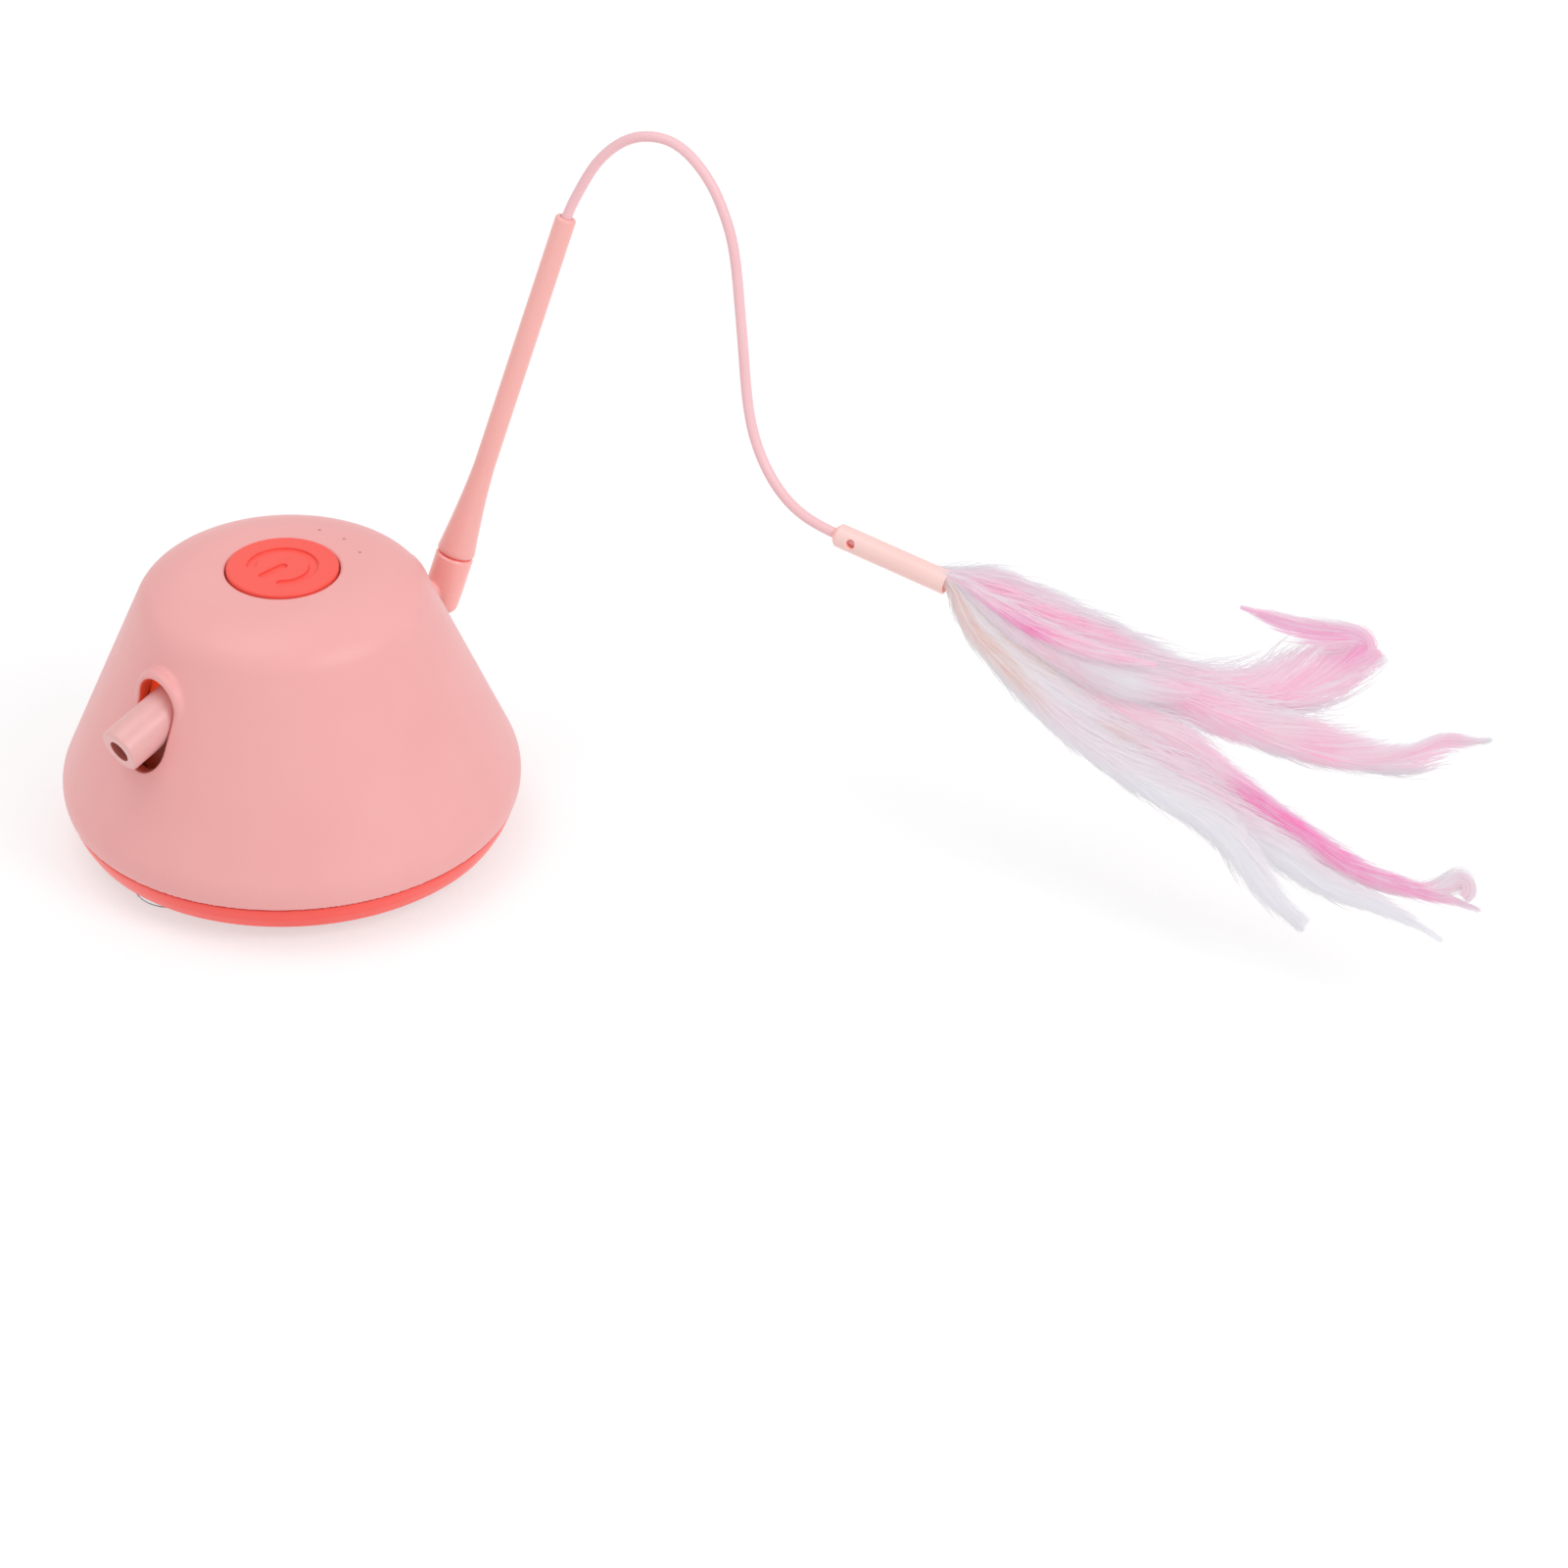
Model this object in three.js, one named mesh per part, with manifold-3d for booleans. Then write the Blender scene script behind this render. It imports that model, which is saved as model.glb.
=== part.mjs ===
// Automatic cat toy: a cone-shaped base that nods two arm tubes up and down through slots.
// An elbow on one arm carries a wand, a springy wire and a bunch of feathers.
// Millimetres, +Z up. The arms lie along X, the wand's arm at +X and the bare arm at -X.
// The origin is the centre of the base's flat underside, and the suction cups reach below it.

import * as THREE from "three";
import { mergeVertices } from "three/addons/utils/BufferGeometryUtils.js";
import Module from "manifold-3d";

const wasm = await Module();
wasm.setup();

// Gaps that every piece shares
const touchGap = 0.3;
const turnGap = 0.2;
const cutRun = 1;

// The base's widest radius, which every other size of the base is a share of
const shellWidestRadius = 55.5;

function inShell(share) {
  return shellWidestRadius * share;
}

function screwSizes(shank, length, head, headHeight) {
  return { shank: inShell(shank), length: inShell(length), head: inShell(head), headHeight: inShell(headHeight) };
}

// Facets of the round pieces
const shellFacets = 40;
const tubeFacets = 18;
const cupFacets = 12;
const buttonFacets = 30;
const pinFacets = 10;
const screwFacets = 6;
const footArcSteps = 4;
const shoulderArcSteps = 4;
const crownArcSteps = 2;
const cornerSteps = 5;

// Upper shell: a cone with a rounded foot and a rounded shoulder
const shellWidestHeight = shellWidestRadius * 0.1964;
const shellHeight = shellWidestRadius * 1.23423;
const shellWallAngle = 23.1;
const shellFootRound = shellWidestRadius * 0.18739;
const shellTopRound = shellWidestRadius * 0.17297;
const shellShoulderAngle = 57;
const shellCrownRound = shellWidestRadius * 0.45045;
const shellWall = shellWidestRadius * 0.03964;
const seamHeight = shellWidestRadius * 0.12973;

// Arms: two tubes that droop from one point above the hinge
const armDroopAngle = 18;
const armMeetHeight = shellWidestRadius * 1.03063;
const hingeHeight = shellWidestRadius * 0.82883;
const armTubeRadius = shellWidestRadius * 0.1018;
const armBoreRadius = shellWidestRadius * 0.05045;
const armInnerEnd = shellWidestRadius * 0.52793;
const bareArmEnd = shellWidestRadius * 0.99099;
const wandArmEnd = shellWidestRadius * 0.7982;

// Slots and their hoods
const slotSideGap = 0.35;
const slotRise = shellWidestRadius * 0.07568;
const slotFall = shellWidestRadius * 0.0991;
const hoodFace = shellWidestRadius * 0.72613;
const hoodRim = shellWidestRadius * 0.04685;
const hoodBevel = shellWidestRadius * 0.01441;
const hoodDepthShare = 0.25;

// Power button and its switch
const buttonRadius = shellWidestRadius * 0.2427;
const buttonRimGap = 0.3;
const buttonProud = shellWidestRadius * 0.01261;
const buttonEdge = shellWidestRadius * 0.01261;
const buttonFlange = shellWidestRadius * 0.02883;
const buttonFlangeThickness = shellWidestRadius * 0.01622;
const buttonCapWall = shellWidestRadius * 0.02883;
const buttonStemRadius = shellWidestRadius * 0.03604;
const buttonTravel = 0.5;
const switchSize = shellWidestRadius * 0.10811;
const switchBodyHeight = shellWidestRadius * 0.05946;
const plungerRadius = shellWidestRadius * 0.02883;
const plungerProud = shellWidestRadius * 0.01622;
const plungerDepth = shellWidestRadius * 0.02703;

// Circuit board under the button
const boardRadius = shellWidestRadius * 0.40541;
const boardThickness = shellWidestRadius * 0.02162;
const postCircle = shellWidestRadius * 0.33333;
const postRadius = shellWidestRadius * 0.04144;
const lampCircle = shellWidestRadius * 0.35135;
const lampSpreadAngle = 22;
const lampRadius = shellWidestRadius * 0.01802;
const lampHoleRadius = shellWidestRadius * 0.00811;

// Bottom cover
const coverUndersideRadius = shellWidestRadius * 0.91892;
const coverEdgeRadius = shellWidestRadius * 0.92973;
const coverEdgeRise = shellWidestRadius * 0.00901;
const coverTopRadius = shellWidestRadius * 0.97297;
const coverFloor = shellWidestRadius * 0.04324;
const coverWall = shellWidestRadius * 0.02883;
const lipRadius = shellWidestRadius * 0.93694;
const lipHeight = shellWidestRadius * 0.05766;

// Suction cups
const cupCircle = shellWidestRadius * 0.68468;
const cupRadius = shellWidestRadius * 0.18018;
const cupDrop = shellWidestRadius * 0.08108;
const cupSkirt = shellWidestRadius * 0.01261;
const cupNeckRadius = shellWidestRadius * 0.03604;
const cupHeadRadius = shellWidestRadius * 0.05766;
const cupHeadHeight = shellWidestRadius * 0.04324;
const cupShoulderRadius = shellWidestRadius * 0.09009;
const cupShoulderDrop = shellWidestRadius * 0.02342;
const cupHollowRise = shellWidestRadius * 0.04324;

// Case screws and the bosses that they join
const caseBossCircle = shellWidestRadius * 0.79279;
const caseBossRadius = shellWidestRadius * 0.06486;
const caseBossTop = shellWidestRadius * 0.64865;
const casePocketRadius = shellWidestRadius * 0.05405;
const casePocketDepth = shellWidestRadius * 0.05405;
const casePocketWall = shellWidestRadius * 0.03604;

// Screws, by size
const caseScrew = screwSizes(0.02162, 0.1982, 0.04685, 0.03063);
const midScrew = screwSizes(0.01802, 0.09009, 0.03243, 0.02342);
const smallScrew = screwSizes(0.01081, 0.05405, 0.02342, 0.01441);
const motorScrew = screwSizes(0.01081, 0.08108, 0.02342, 0.01441);

// Gearbox: a plate with one cheek, and a second cheek screwed to three pillars
const plateLowX = -shellWidestRadius * 0.64865;
const plateHighX = shellWidestRadius * 0.31532;
const plateHalfWidth = shellWidestRadius * 0.32432;
const plateThickness = shellWidestRadius * 0.03604;
const plateBossHeight = shellWidestRadius * 0.06486;
const plateBossRadius = shellWidestRadius * 0.05405;
const plateScrewInset = shellWidestRadius * 0.06486;
const plateScrewEdge = shellWidestRadius * 0.03423;
const cheekInner = shellWidestRadius * 0.21622;
const cheekThickness = shellWidestRadius * 0.03604;
const pillarRadius = shellWidestRadius * 0.04324;
const hingePinRadius = shellWidestRadius * 0.02703;
const gearPinRadius = shellWidestRadius * 0.01802;
const pinProud = shellWidestRadius * 0.01261;

// Gear train, from the rocker's sector down to the motor
const coarseModule = shellWidestRadius * 0.01441;
const fineModule = shellWidestRadius * 0.00901;
const sectorTeeth = 38;
const sectorShown = 7;
const pinionTeeth = 10;
const outputTeeth = 32;
const middleTeeth = 36;
const middleAngle = 210;
const motorAngle = 180;
const rootToothShare = 0.6;
const tipToothShare = 0.2;
const addendumShare = 0.85;
const dedendumShare = 1.2;

// Places of the gears along the hinge, from low to high Y
const motorPinionSpan = [-0.1964, -0.13333].map(inShell);
const middleWheelSpan = [-0.18739, -0.14414].map(inShell);
const middlePinionSpan = [-0.14414, -0.04865].map(inShell);
const outputWheelSpan = [-0.11712, -0.06486].map(inShell);
const outputPinionSpan = [-0.06486, 0.1009].map(inShell);
const sectorSpan = [0.01802, 0.09009].map(inShell);
const hubLength = shellWidestRadius * 0.41802;
const hubRadius = shellWidestRadius * 0.08649;

// Rocker levers
const leverHalfWidth = shellWidestRadius * 0.07207;
const leverRootHeight = shellWidestRadius * 0.13333;
const leverTipHeight = shellWidestRadius * 0.10811;
const flangeThickness = shellWidestRadius * 0.03604;
const armSocketRadius = shellWidestRadius * 0.12883;
const spigotLength = shellWidestRadius * 0.10811;

// Slot shutters: plates on the rocker's arm sockets, leaning with the shell's wall
const shutterHalfWidth = shellWidestRadius * 0.13694;
const shutterHalfHeight = shellWidestRadius * 0.25045;
const shutterThickness = shellWidestRadius * 0.02883;
const shutterPlace = shellWidestRadius * 0.67568;
const shutterMiddle = shellWidestRadius * 0.77477;
const shutterLeanAngle = 21;
const sectorWebHalfAngle = 26;

// Motor
const motorRadius = shellWidestRadius * 0.10811;
const motorFlat = shellWidestRadius * 0.09009;
const motorLength = shellWidestRadius * 0.27027;
const motorNoseRadius = shellWidestRadius * 0.04324;
const motorNoseLength = shellWidestRadius * 0.02883;
const motorShaftRadius = shellWidestRadius * 0.01351;
const motorScrewOffset = shellWidestRadius * 0.08108;

// Battery and its tray
const cellLength = shellWidestRadius * 0.54054;
const cellWidth = shellWidestRadius * 0.36036;
const cellHeight = shellWidestRadius * 0.18018;
const cellCorner = shellWidestRadius * 0.02703;
const cellPlace = shellWidestRadius * 0.52973;
const trayWall = shellWidestRadius * 0.02162;
const trayWallHeight = shellWidestRadius * 0.09009;
const trayFloor = shellWidestRadius * 0.02523;
const trayEarRadius = shellWidestRadius * 0.05405;

// Charging socket and its board
const socketWidth = shellWidestRadius * 0.16036;
const socketHeight = shellWidestRadius * 0.05766;
const socketLength = shellWidestRadius * 0.13153;
const socketWall = shellWidestRadius * 0.00631;
const socketTongueWidth = shellWidestRadius * 0.11532;
const socketTongueHeight = shellWidestRadius * 0.01261;
const socketDepth = shellWidestRadius * 0.11171;
const socketSetback = shellWidestRadius * 0.01802;
const portMargin = 0.45;
const chargeBoardWidth = shellWidestRadius * 0.27027;
const chargeBoardLength = shellWidestRadius * 0.23423;
const chargeBoardBase = shellWidestRadius * 0.19099;
const chargePostRadius = shellWidestRadius * 0.03604;

// Elbow: a barrel that holds the wand, with a leg that plugs into the arm
const elbowRadius = shellWidestRadius * 0.08396;
const elbowReach = shellWidestRadius * 0.15495;
const elbowRise = shellWidestRadius * 0.18649;
const elbowFoot = shellWidestRadius * 0.09009;
const elbowFootRound = shellWidestRadius * 0.04685;
const elbowRimChamfer = shellWidestRadius * 0.00811;
const elbowLeanAngle = 7.4;
const plugLength = shellWidestRadius * 0.13694;
const plugClearance = 0.25;
const wandSocketRadius = shellWidestRadius * 0.04505;
const wandSocketDepth = shellWidestRadius * 0.10811;

// Wand tube
const wandLength = 91.5;
const wandFootRadius = shellWidestRadius * 0.08505;
const wandTubeRadius = shellWidestRadius * 0.04649;
const wandFlareLength = shellWidestRadius * 0.45045;
const wandSpigotClearance = 0.25;
const wandTipRound = shellWidestRadius * 0.00901;
const wandTurnDegrees = -70;

// Spring wire, with its route from the wand's tip to the sleeve
const wireRadius = shellWidestRadius * 0.0227;
const wireReach = 90;
const wireSocketDepth = shellWidestRadius * 0.12613;
const wireSides = 8;
const wireSteps = 40;
const wireRouteShares = [
  [0.003, 0.03], [0.012, 0.088], [0.03, 0.165], [0.062, 0.232], [0.105, 0.281], [0.155, 0.309],
  [0.21, 0.32], [0.262, 0.312], [0.312, 0.29], [0.36, 0.258], [0.408, 0.212], [0.454, 0.155],
  [0.497, 0.08], [0.535, 0], [0.572, -0.08], [0.609, -0.162], [0.65, -0.248], [0.698, -0.325],
  [0.756, -0.388], [0.82, -0.434], [0.885, -0.46], [0.95, -0.469], [1, -0.469],
];

// Feather sleeve
const sleeveLength = shellWidestRadius * 0.54054;
const sleeveRadius = shellWidestRadius * 0.05225;
const sleeveChamfer = shellWidestRadius * 0.01622;
const sleeveMouthRadius = shellWidestRadius * 0.04144;
const sleeveMouthDepth = shellWidestRadius * 0.28829;
const sleeveHoleRadius = shellWidestRadius * 0.01982;
const sleeveHoleInset = shellWidestRadius * 0.09009;
const sleeveTiltAngle = 2.5;
const wireGripDepth = shellWidestRadius * 0.14414;

// Feathers: each has a midline and half-widths as shares of the bunch's length
const featherLength = 140;
const featherThickness = 0.55;
const featherPitch = 0.85;
const featherSteps = 12;
const featherRootHalfWidth = 1;
const featherGrip = 10;
const featherShares = {
  feather_top: {
    midline: [[0, 0], [0.14, -0.015], [0.34, -0.05], [0.56, 0.02], [0.655, 0.15], [0.66, 0.225], [0.6, 0.22], [0.5, 0.19]],
    width: [0.01, 0.06, 0.085, 0.075, 0.06, 0.045, 0.03, 0.004],
    side: 0.05,
  },
  feather_middle: {
    midline: [[0, 0], [0.18, -0.04], [0.37, -0.03], [0.57, 0], [0.7, -0.01], [0.82, 0.06], [0.95, 0.17]],
    width: [0.01, 0.07, 0.09, 0.075, 0.055, 0.035, 0.004],
    side: 0.02,
  },
  feather_lower: {
    midline: [[0, 0], [0.16, -0.06], [0.36, -0.085], [0.56, -0.11], [0.74, -0.16], [0.92, -0.13], [1.03, -0.1]],
    width: [0.01, 0.07, 0.085, 0.06, 0.045, 0.035, 0.004],
    side: -0.02,
  },
  feather_white: {
    midline: [[0, 0], [0.14, -0.09], [0.32, -0.15], [0.52, -0.18], [0.74, -0.19], [0.98, -0.2]],
    width: [0.01, 0.06, 0.08, 0.075, 0.05, 0.004],
    side: -0.05,
  },
  feather_down: {
    midline: [[0, 0], [0.12, -0.09], [0.28, -0.17], [0.46, -0.225], [0.64, -0.26], [0.78, -0.28]],
    width: [0.01, 0.055, 0.08, 0.085, 0.07, 0.02],
    side: -0.09,
  },
};

// Colours and finishes
function plastic(color, roughness = 0.5) {
  return new THREE.MeshStandardMaterial({ color, roughness, metalness: 0 });
}

function metal(color, roughness = 0.35) {
  return new THREE.MeshStandardMaterial({ color, roughness, metalness: 0.9 });
}

const shellPink = plastic(0xf2b3b0, 0.55);
const coral = plastic(0xfa6c62, 0.45);
const armPink = plastic(0xeeb2ae, 0.4);
const wandPink = plastic(0xf9b0aa, 0.4);
const wirePink = plastic(0xf2c0c3, 0.45);
const sleevePink = plastic(0xf8cfc9, 0.4);
const clearVinyl = new THREE.MeshStandardMaterial({ color: 0xe6e8ea, roughness: 0.12, transparent: true, opacity: 0.5 });
const frameWhite = plastic(0xe9e4de, 0.6);
const gearWhite = plastic(0xf4f1e8, 0.4);
const boardGreen = plastic(0x1e6b46, 0.5);
const switchBlack = plastic(0x202022, 0.5);
const lampRed = plastic(0xe04a3a, 0.3);
const cellBlue = plastic(0x5a7fae, 0.45);
const steel = metal(0xb9bcc0);
const brass = metal(0xc8a45c);
const featherPink = plastic(0xf6bcd6, 0.8);
const featherHotPink = plastic(0xf39acb, 0.8);
const featherPale = plastic(0xe9e2ec, 0.85);

// Angles and places that more than one piece needs
const radians = THREE.MathUtils.degToRad;
const quarterTurn = Math.PI / 2;
const droop = radians(armDroopAngle);
const wallLean = radians(shellWallAngle);
const shoulderLean = radians(shellShoulderAngle);
const tubeHeightAt = (x) => armMeetHeight - Math.abs(x) * Math.tan(droop);
const slotHalfWidth = armTubeRadius + slotSideGap;
const slotTopCentre = tubeHeightAt(hoodFace) + slotRise;
const slotLowCentre = tubeHeightAt(hoodFace) - slotFall;
const roofInside = shellHeight - shellWall;
const buttonFlangeTop = roofInside - touchGap;
const buttonFlangeBase = buttonFlangeTop - buttonFlangeThickness;
const plungerTop = buttonFlangeBase - buttonTravel - touchGap;
const switchTop = plungerTop - plungerProud;
const boardTop = switchTop - switchBodyHeight - touchGap;
const boardBase = boardTop - boardThickness;
const coverTop = seamHeight - touchGap;
const plateBase = coverFloor + plateBossHeight + touchGap;
const plateTop = plateBase + plateThickness;
const outputCentre = [0, hingeHeight - (sectorTeeth + pinionTeeth) * coarseModule / 2];
const middleCentre = polar(outputCentre, (outputTeeth + pinionTeeth) * coarseModule / 2, middleAngle);
const motorCentre = polar(middleCentre, (middleTeeth + pinionTeeth) * fineModule / 2, motorAngle);
const cheekOuter = cheekInner + cheekThickness;
const chargePlaceY = shellWidestRadius - shellWall - socketSetback;
const chargeBoardTop = chargeBoardBase + touchGap + boardThickness;
const socketBase = chargeBoardTop + touchGap;
const socketMiddle = socketBase + socketHeight / 2;
const ringOfThree = (first) => [first, first + 120, first + 240];
const cupAngles = ringOfThree(180);
const caseAngles = ringOfThree(30);
const postAngles = ringOfThree(60);
const lampAngles = [-lampSpreadAngle, 0, lampSpreadAngle];
const plateCorners = [
  [plateLowX + plateScrewInset, -plateHalfWidth + plateScrewEdge],
  [plateLowX + plateScrewInset, plateHalfWidth - plateScrewEdge],
  [plateHighX - plateScrewInset, -plateHalfWidth + plateScrewEdge],
  [plateHighX - plateScrewInset, plateHalfWidth - plateScrewEdge],
];
const trayHalfWidth = cellWidth / 2 + touchGap + trayWall;
const trayHalfLength = cellLength / 2 + touchGap + trayWall;
const trayBase = coverFloor + touchGap;
const trayEars = [
  [cellPlace + trayHalfWidth - trayEarRadius, -trayHalfLength - trayEarRadius],
  [cellPlace - trayHalfWidth + trayEarRadius, trayHalfLength + trayEarRadius],
];
const chargePosts = [
  [-chargeBoardWidth / 2 + chargePostRadius, chargePlaceY - chargeBoardLength + chargePostRadius],
  [chargeBoardWidth / 2 - chargePostRadius, chargePlaceY - chargeBoardLength + chargePostRadius],
];
const pillarPlaces = [
  [plateLowX + cheekThickness * 2, plateTop + pillarRadius * 3],
  [plateHighX - pillarRadius * 1.5, plateTop + pillarRadius * 2],
  [-hubRadius * 2.8, hingeHeight - hubRadius * 1.9],
];

// Basic shapes

function polar(centre, distance, degrees) {
  const angle = radians(degrees);
  return [centre[0] + distance * Math.cos(angle), centre[1] + distance * Math.sin(angle)];
}

function arc(centre, radius, from, to, steps) {
  const points = [];
  for (let i = 0; i <= steps; i += 1) {
    const angle = from + (to - from) * i / steps;
    points.push([centre[0] + radius * Math.cos(angle), centre[1] + radius * Math.sin(angle)]);
  }
  return points;
}

// A profile of [radius, height] pairs, turned about Z
function turned(profile, facets) {
  const geometry = new THREE.LatheGeometry(profile.map(([r, h]) => new THREE.Vector2(r, h)), facets);
  return geometry.rotateX(quarterTurn);
}

function rod(radius, low, high, facets = pinFacets) {
  return new THREE.CylinderGeometry(radius, radius, high - low, facets)
    .rotateX(quarterTurn)
    .translate(0, 0, (low + high) / 2);
}

function block(low, high) {
  const size = high.map((value, i) => value - low[i]);
  const middle = high.map((value, i) => (value + low[i]) / 2);
  return new THREE.BoxGeometry(...size).translate(...middle);
}

function outline(points) {
  return new THREE.Shape(points.map(([x, y]) => new THREE.Vector2(x, y)));
}

function obround(radius, low, high, steps = cornerSteps + 3) {
  return outline([
    ...arc([0, high], radius, 0, Math.PI, steps),
    ...arc([0, low], radius, Math.PI, Math.PI * 2, steps),
  ]);
}

function raised(shape, low, high) {
  return new THREE.ExtrudeGeometry(shape, { depth: high - low, bevelEnabled: false }).translate(0, 0, low);
}

// A shape drawn in X and Z, running along Y from low to high
function alongY(shape, low, high) {
  return raised(shape, 0, high - low).rotateX(quarterTurn).translate(0, high, 0);
}

// A shape drawn in Y and Z, running along X from low to high
function alongX(geometry) {
  return geometry.rotateX(quarterTurn).rotateZ(quarterTurn);
}

// A rod along Y through a point of the XZ plane
function rodAlongY([x, z], radius, low, high, facets = pinFacets) {
  return rod(radius, low, high, facets).rotateX(-quarterTurn).translate(x, 0, z);
}

// Joining and cutting

function toSolid(geometry) {
  const bare = geometry.clone();
  bare.deleteAttribute("normal");
  bare.deleteAttribute("uv");
  const merged = mergeVertices(bare);
  const index = merged.index.array;
  const kept = [];
  for (let i = 0; i < index.length; i += 3) {
    const [a, b, c] = [index[i], index[i + 1], index[i + 2]];
    if (a !== b && b !== c && c !== a) kept.push(a, b, c);
  }
  return new wasm.Manifold(new wasm.Mesh({
    numProp: 3,
    vertProperties: new Float32Array(merged.attributes.position.array),
    triVerts: new Uint32Array(kept),
  }));
}

function toGeometry(solid) {
  const mesh = solid.getMesh();
  const geometry = new THREE.BufferGeometry();
  geometry.setAttribute("position", new THREE.BufferAttribute(new Float32Array(mesh.vertProperties), 3));
  geometry.setIndex(new THREE.BufferAttribute(new Uint32Array(mesh.triVerts), 1));
  return geometry;
}

function join(...geometries) {
  return toGeometry(geometries.map(toSolid).reduce((whole, next) => whole.add(next)));
}

function cut(geometry, ...tools) {
  return toGeometry(tools.map(toSolid).reduce((whole, tool) => whole.subtract(tool), toSolid(geometry)));
}

function common(geometry, other) {
  return toGeometry(toSolid(geometry).intersect(toSolid(other)));
}

function add(group, name, geometry, material) {
  const mesh = new THREE.Mesh(geometry, material);
  mesh.name = name;
  group.add(mesh);
  return mesh;
}

function aroundZ(radius, degrees) {
  return polar([0, 0], radius, degrees);
}

// Upper shell

function shellProfile(inset) {
  const footCentre = [shellWidestRadius - shellFootRound, shellWidestHeight];
  const wallFoot = polar(footCentre, shellFootRound, shellWallAngle);
  const roundStep = shellCrownRound - shellTopRound;
  const topCentreHeight = shellHeight - shellCrownRound + roundStep * Math.sin(shoulderLean);
  const climb = topCentreHeight + shellTopRound * Math.sin(wallLean) - wallFoot[1];
  const topCentreRadius = wallFoot[0] - climb * Math.tan(wallLean) - shellTopRound * Math.cos(wallLean);
  const topCentre = [topCentreRadius, topCentreHeight];
  const crownCentre = [topCentreRadius - roundStep * Math.cos(shoulderLean), shellHeight - shellCrownRound];
  const footRadius = shellFootRound - inset;
  const rimAngle = Math.asin((seamHeight - shellWidestHeight) / footRadius);
  return [
    ...arc(footCentre, footRadius, rimAngle, wallLean, footArcSteps),
    ...arc(topCentre, shellTopRound - inset, wallLean, shoulderLean, shoulderArcSteps),
    ...arc(crownCentre, shellCrownRound - inset, shoulderLean, quarterTurn, crownArcSteps).slice(1),
  ];
}

function outsideOfShell() {
  return turned([[0, seamHeight], ...shellProfile(0), [0, shellHeight]], shellFacets);
}

function insideOfShell() {
  const profile = shellProfile(shellWall);
  const rimRadius = profile[0][0];
  const floor = seamHeight - cutRun;
  return turned([[0, floor], [rimRadius, floor], ...profile, [0, roofInside]], shellFacets);
}

function slotCutter() {
  return alongX(raised(obround(slotHalfWidth, slotLowCentre, slotTopCentre), -shellWidestRadius, shellWidestRadius));
}

function hood(side) {
  const depth = hoodFace * hoodDepthShare;
  const rimShape = obround(slotHalfWidth + hoodRim - hoodBevel, slotLowCentre, slotTopCentre);
  const boss = new THREE.ExtrudeGeometry(rimShape, {
    depth,
    bevelEnabled: true,
    bevelSize: hoodBevel,
    bevelThickness: hoodBevel,
    bevelSegments: 1,
  });
  return alongX(boss.translate(0, 0, hoodFace - hoodBevel - depth)).rotateZ(side > 0 ? 0 : Math.PI);
}

function upperShell() {
  const posts = postAngles.map((angle) => {
    const [x, y] = aroundZ(postCircle, angle);
    return rod(postRadius, boardTop + touchGap, roofInside + shellWall / 2).translate(x, y, 0);
  });
  const postHoles = postAngles.map((angle) => {
    const [x, y] = aroundZ(postCircle, angle);
    return rod(smallScrew.shank + turnGap, boardTop, boardTop + smallScrew.length, screwFacets).translate(x, y, 0);
  });
  const bosses = caseAngles.map((angle) => {
    const [x, y] = aroundZ(caseBossCircle, angle);
    const base = casePocketDepth + casePocketWall + touchGap;
    return rod(caseBossRadius, base, caseBossTop).translate(x, y, 0);
  });
  const bossHoles = caseAngles.map((angle) => {
    const [x, y] = aroundZ(caseBossCircle, angle);
    const top = casePocketDepth + caseScrew.length + cutRun;
    return rod(caseScrew.shank + turnGap, coverFloor, top, screwFacets).translate(x, y, 0);
  });
  const lampHoles = lampAngles.map((angle) => {
    const [x, y] = aroundZ(lampCircle, angle);
    return rod(lampHoleRadius, roofInside - cutRun, shellHeight + cutRun, screwFacets).translate(x, y, 0);
  });
  const below = rod(shellWidestRadius, 0, seamHeight, shellFacets);
  const bossSpace = join(outsideOfShell(), below);
  const skin = cut(join(outsideOfShell(), hood(1), hood(-1)), insideOfShell());
  const inner = common(join(...bosses), bossSpace);
  const buttonHole = rod(buttonRadius + buttonRimGap, roofInside - cutRun, shellHeight + cutRun, buttonFacets);
  return cut(join(skin, inner, ...posts), slotCutter(), portCutter(), buttonHole, ...postHoles, ...bossHoles, ...lampHoles);
}

function portCutter() {
  const radius = socketHeight / 2 + portMargin;
  const reach = socketWidth / 2 - socketHeight / 2;
  const port = outline([
    ...arc([reach, socketMiddle], radius, -quarterTurn, quarterTurn, cornerSteps),
    ...arc([-reach, socketMiddle], radius, quarterTurn, quarterTurn * 3, cornerSteps),
  ]);
  return alongY(port, chargePlaceY - shellWall, shellWidestRadius + cutRun);
}

// Bottom cover

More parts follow.
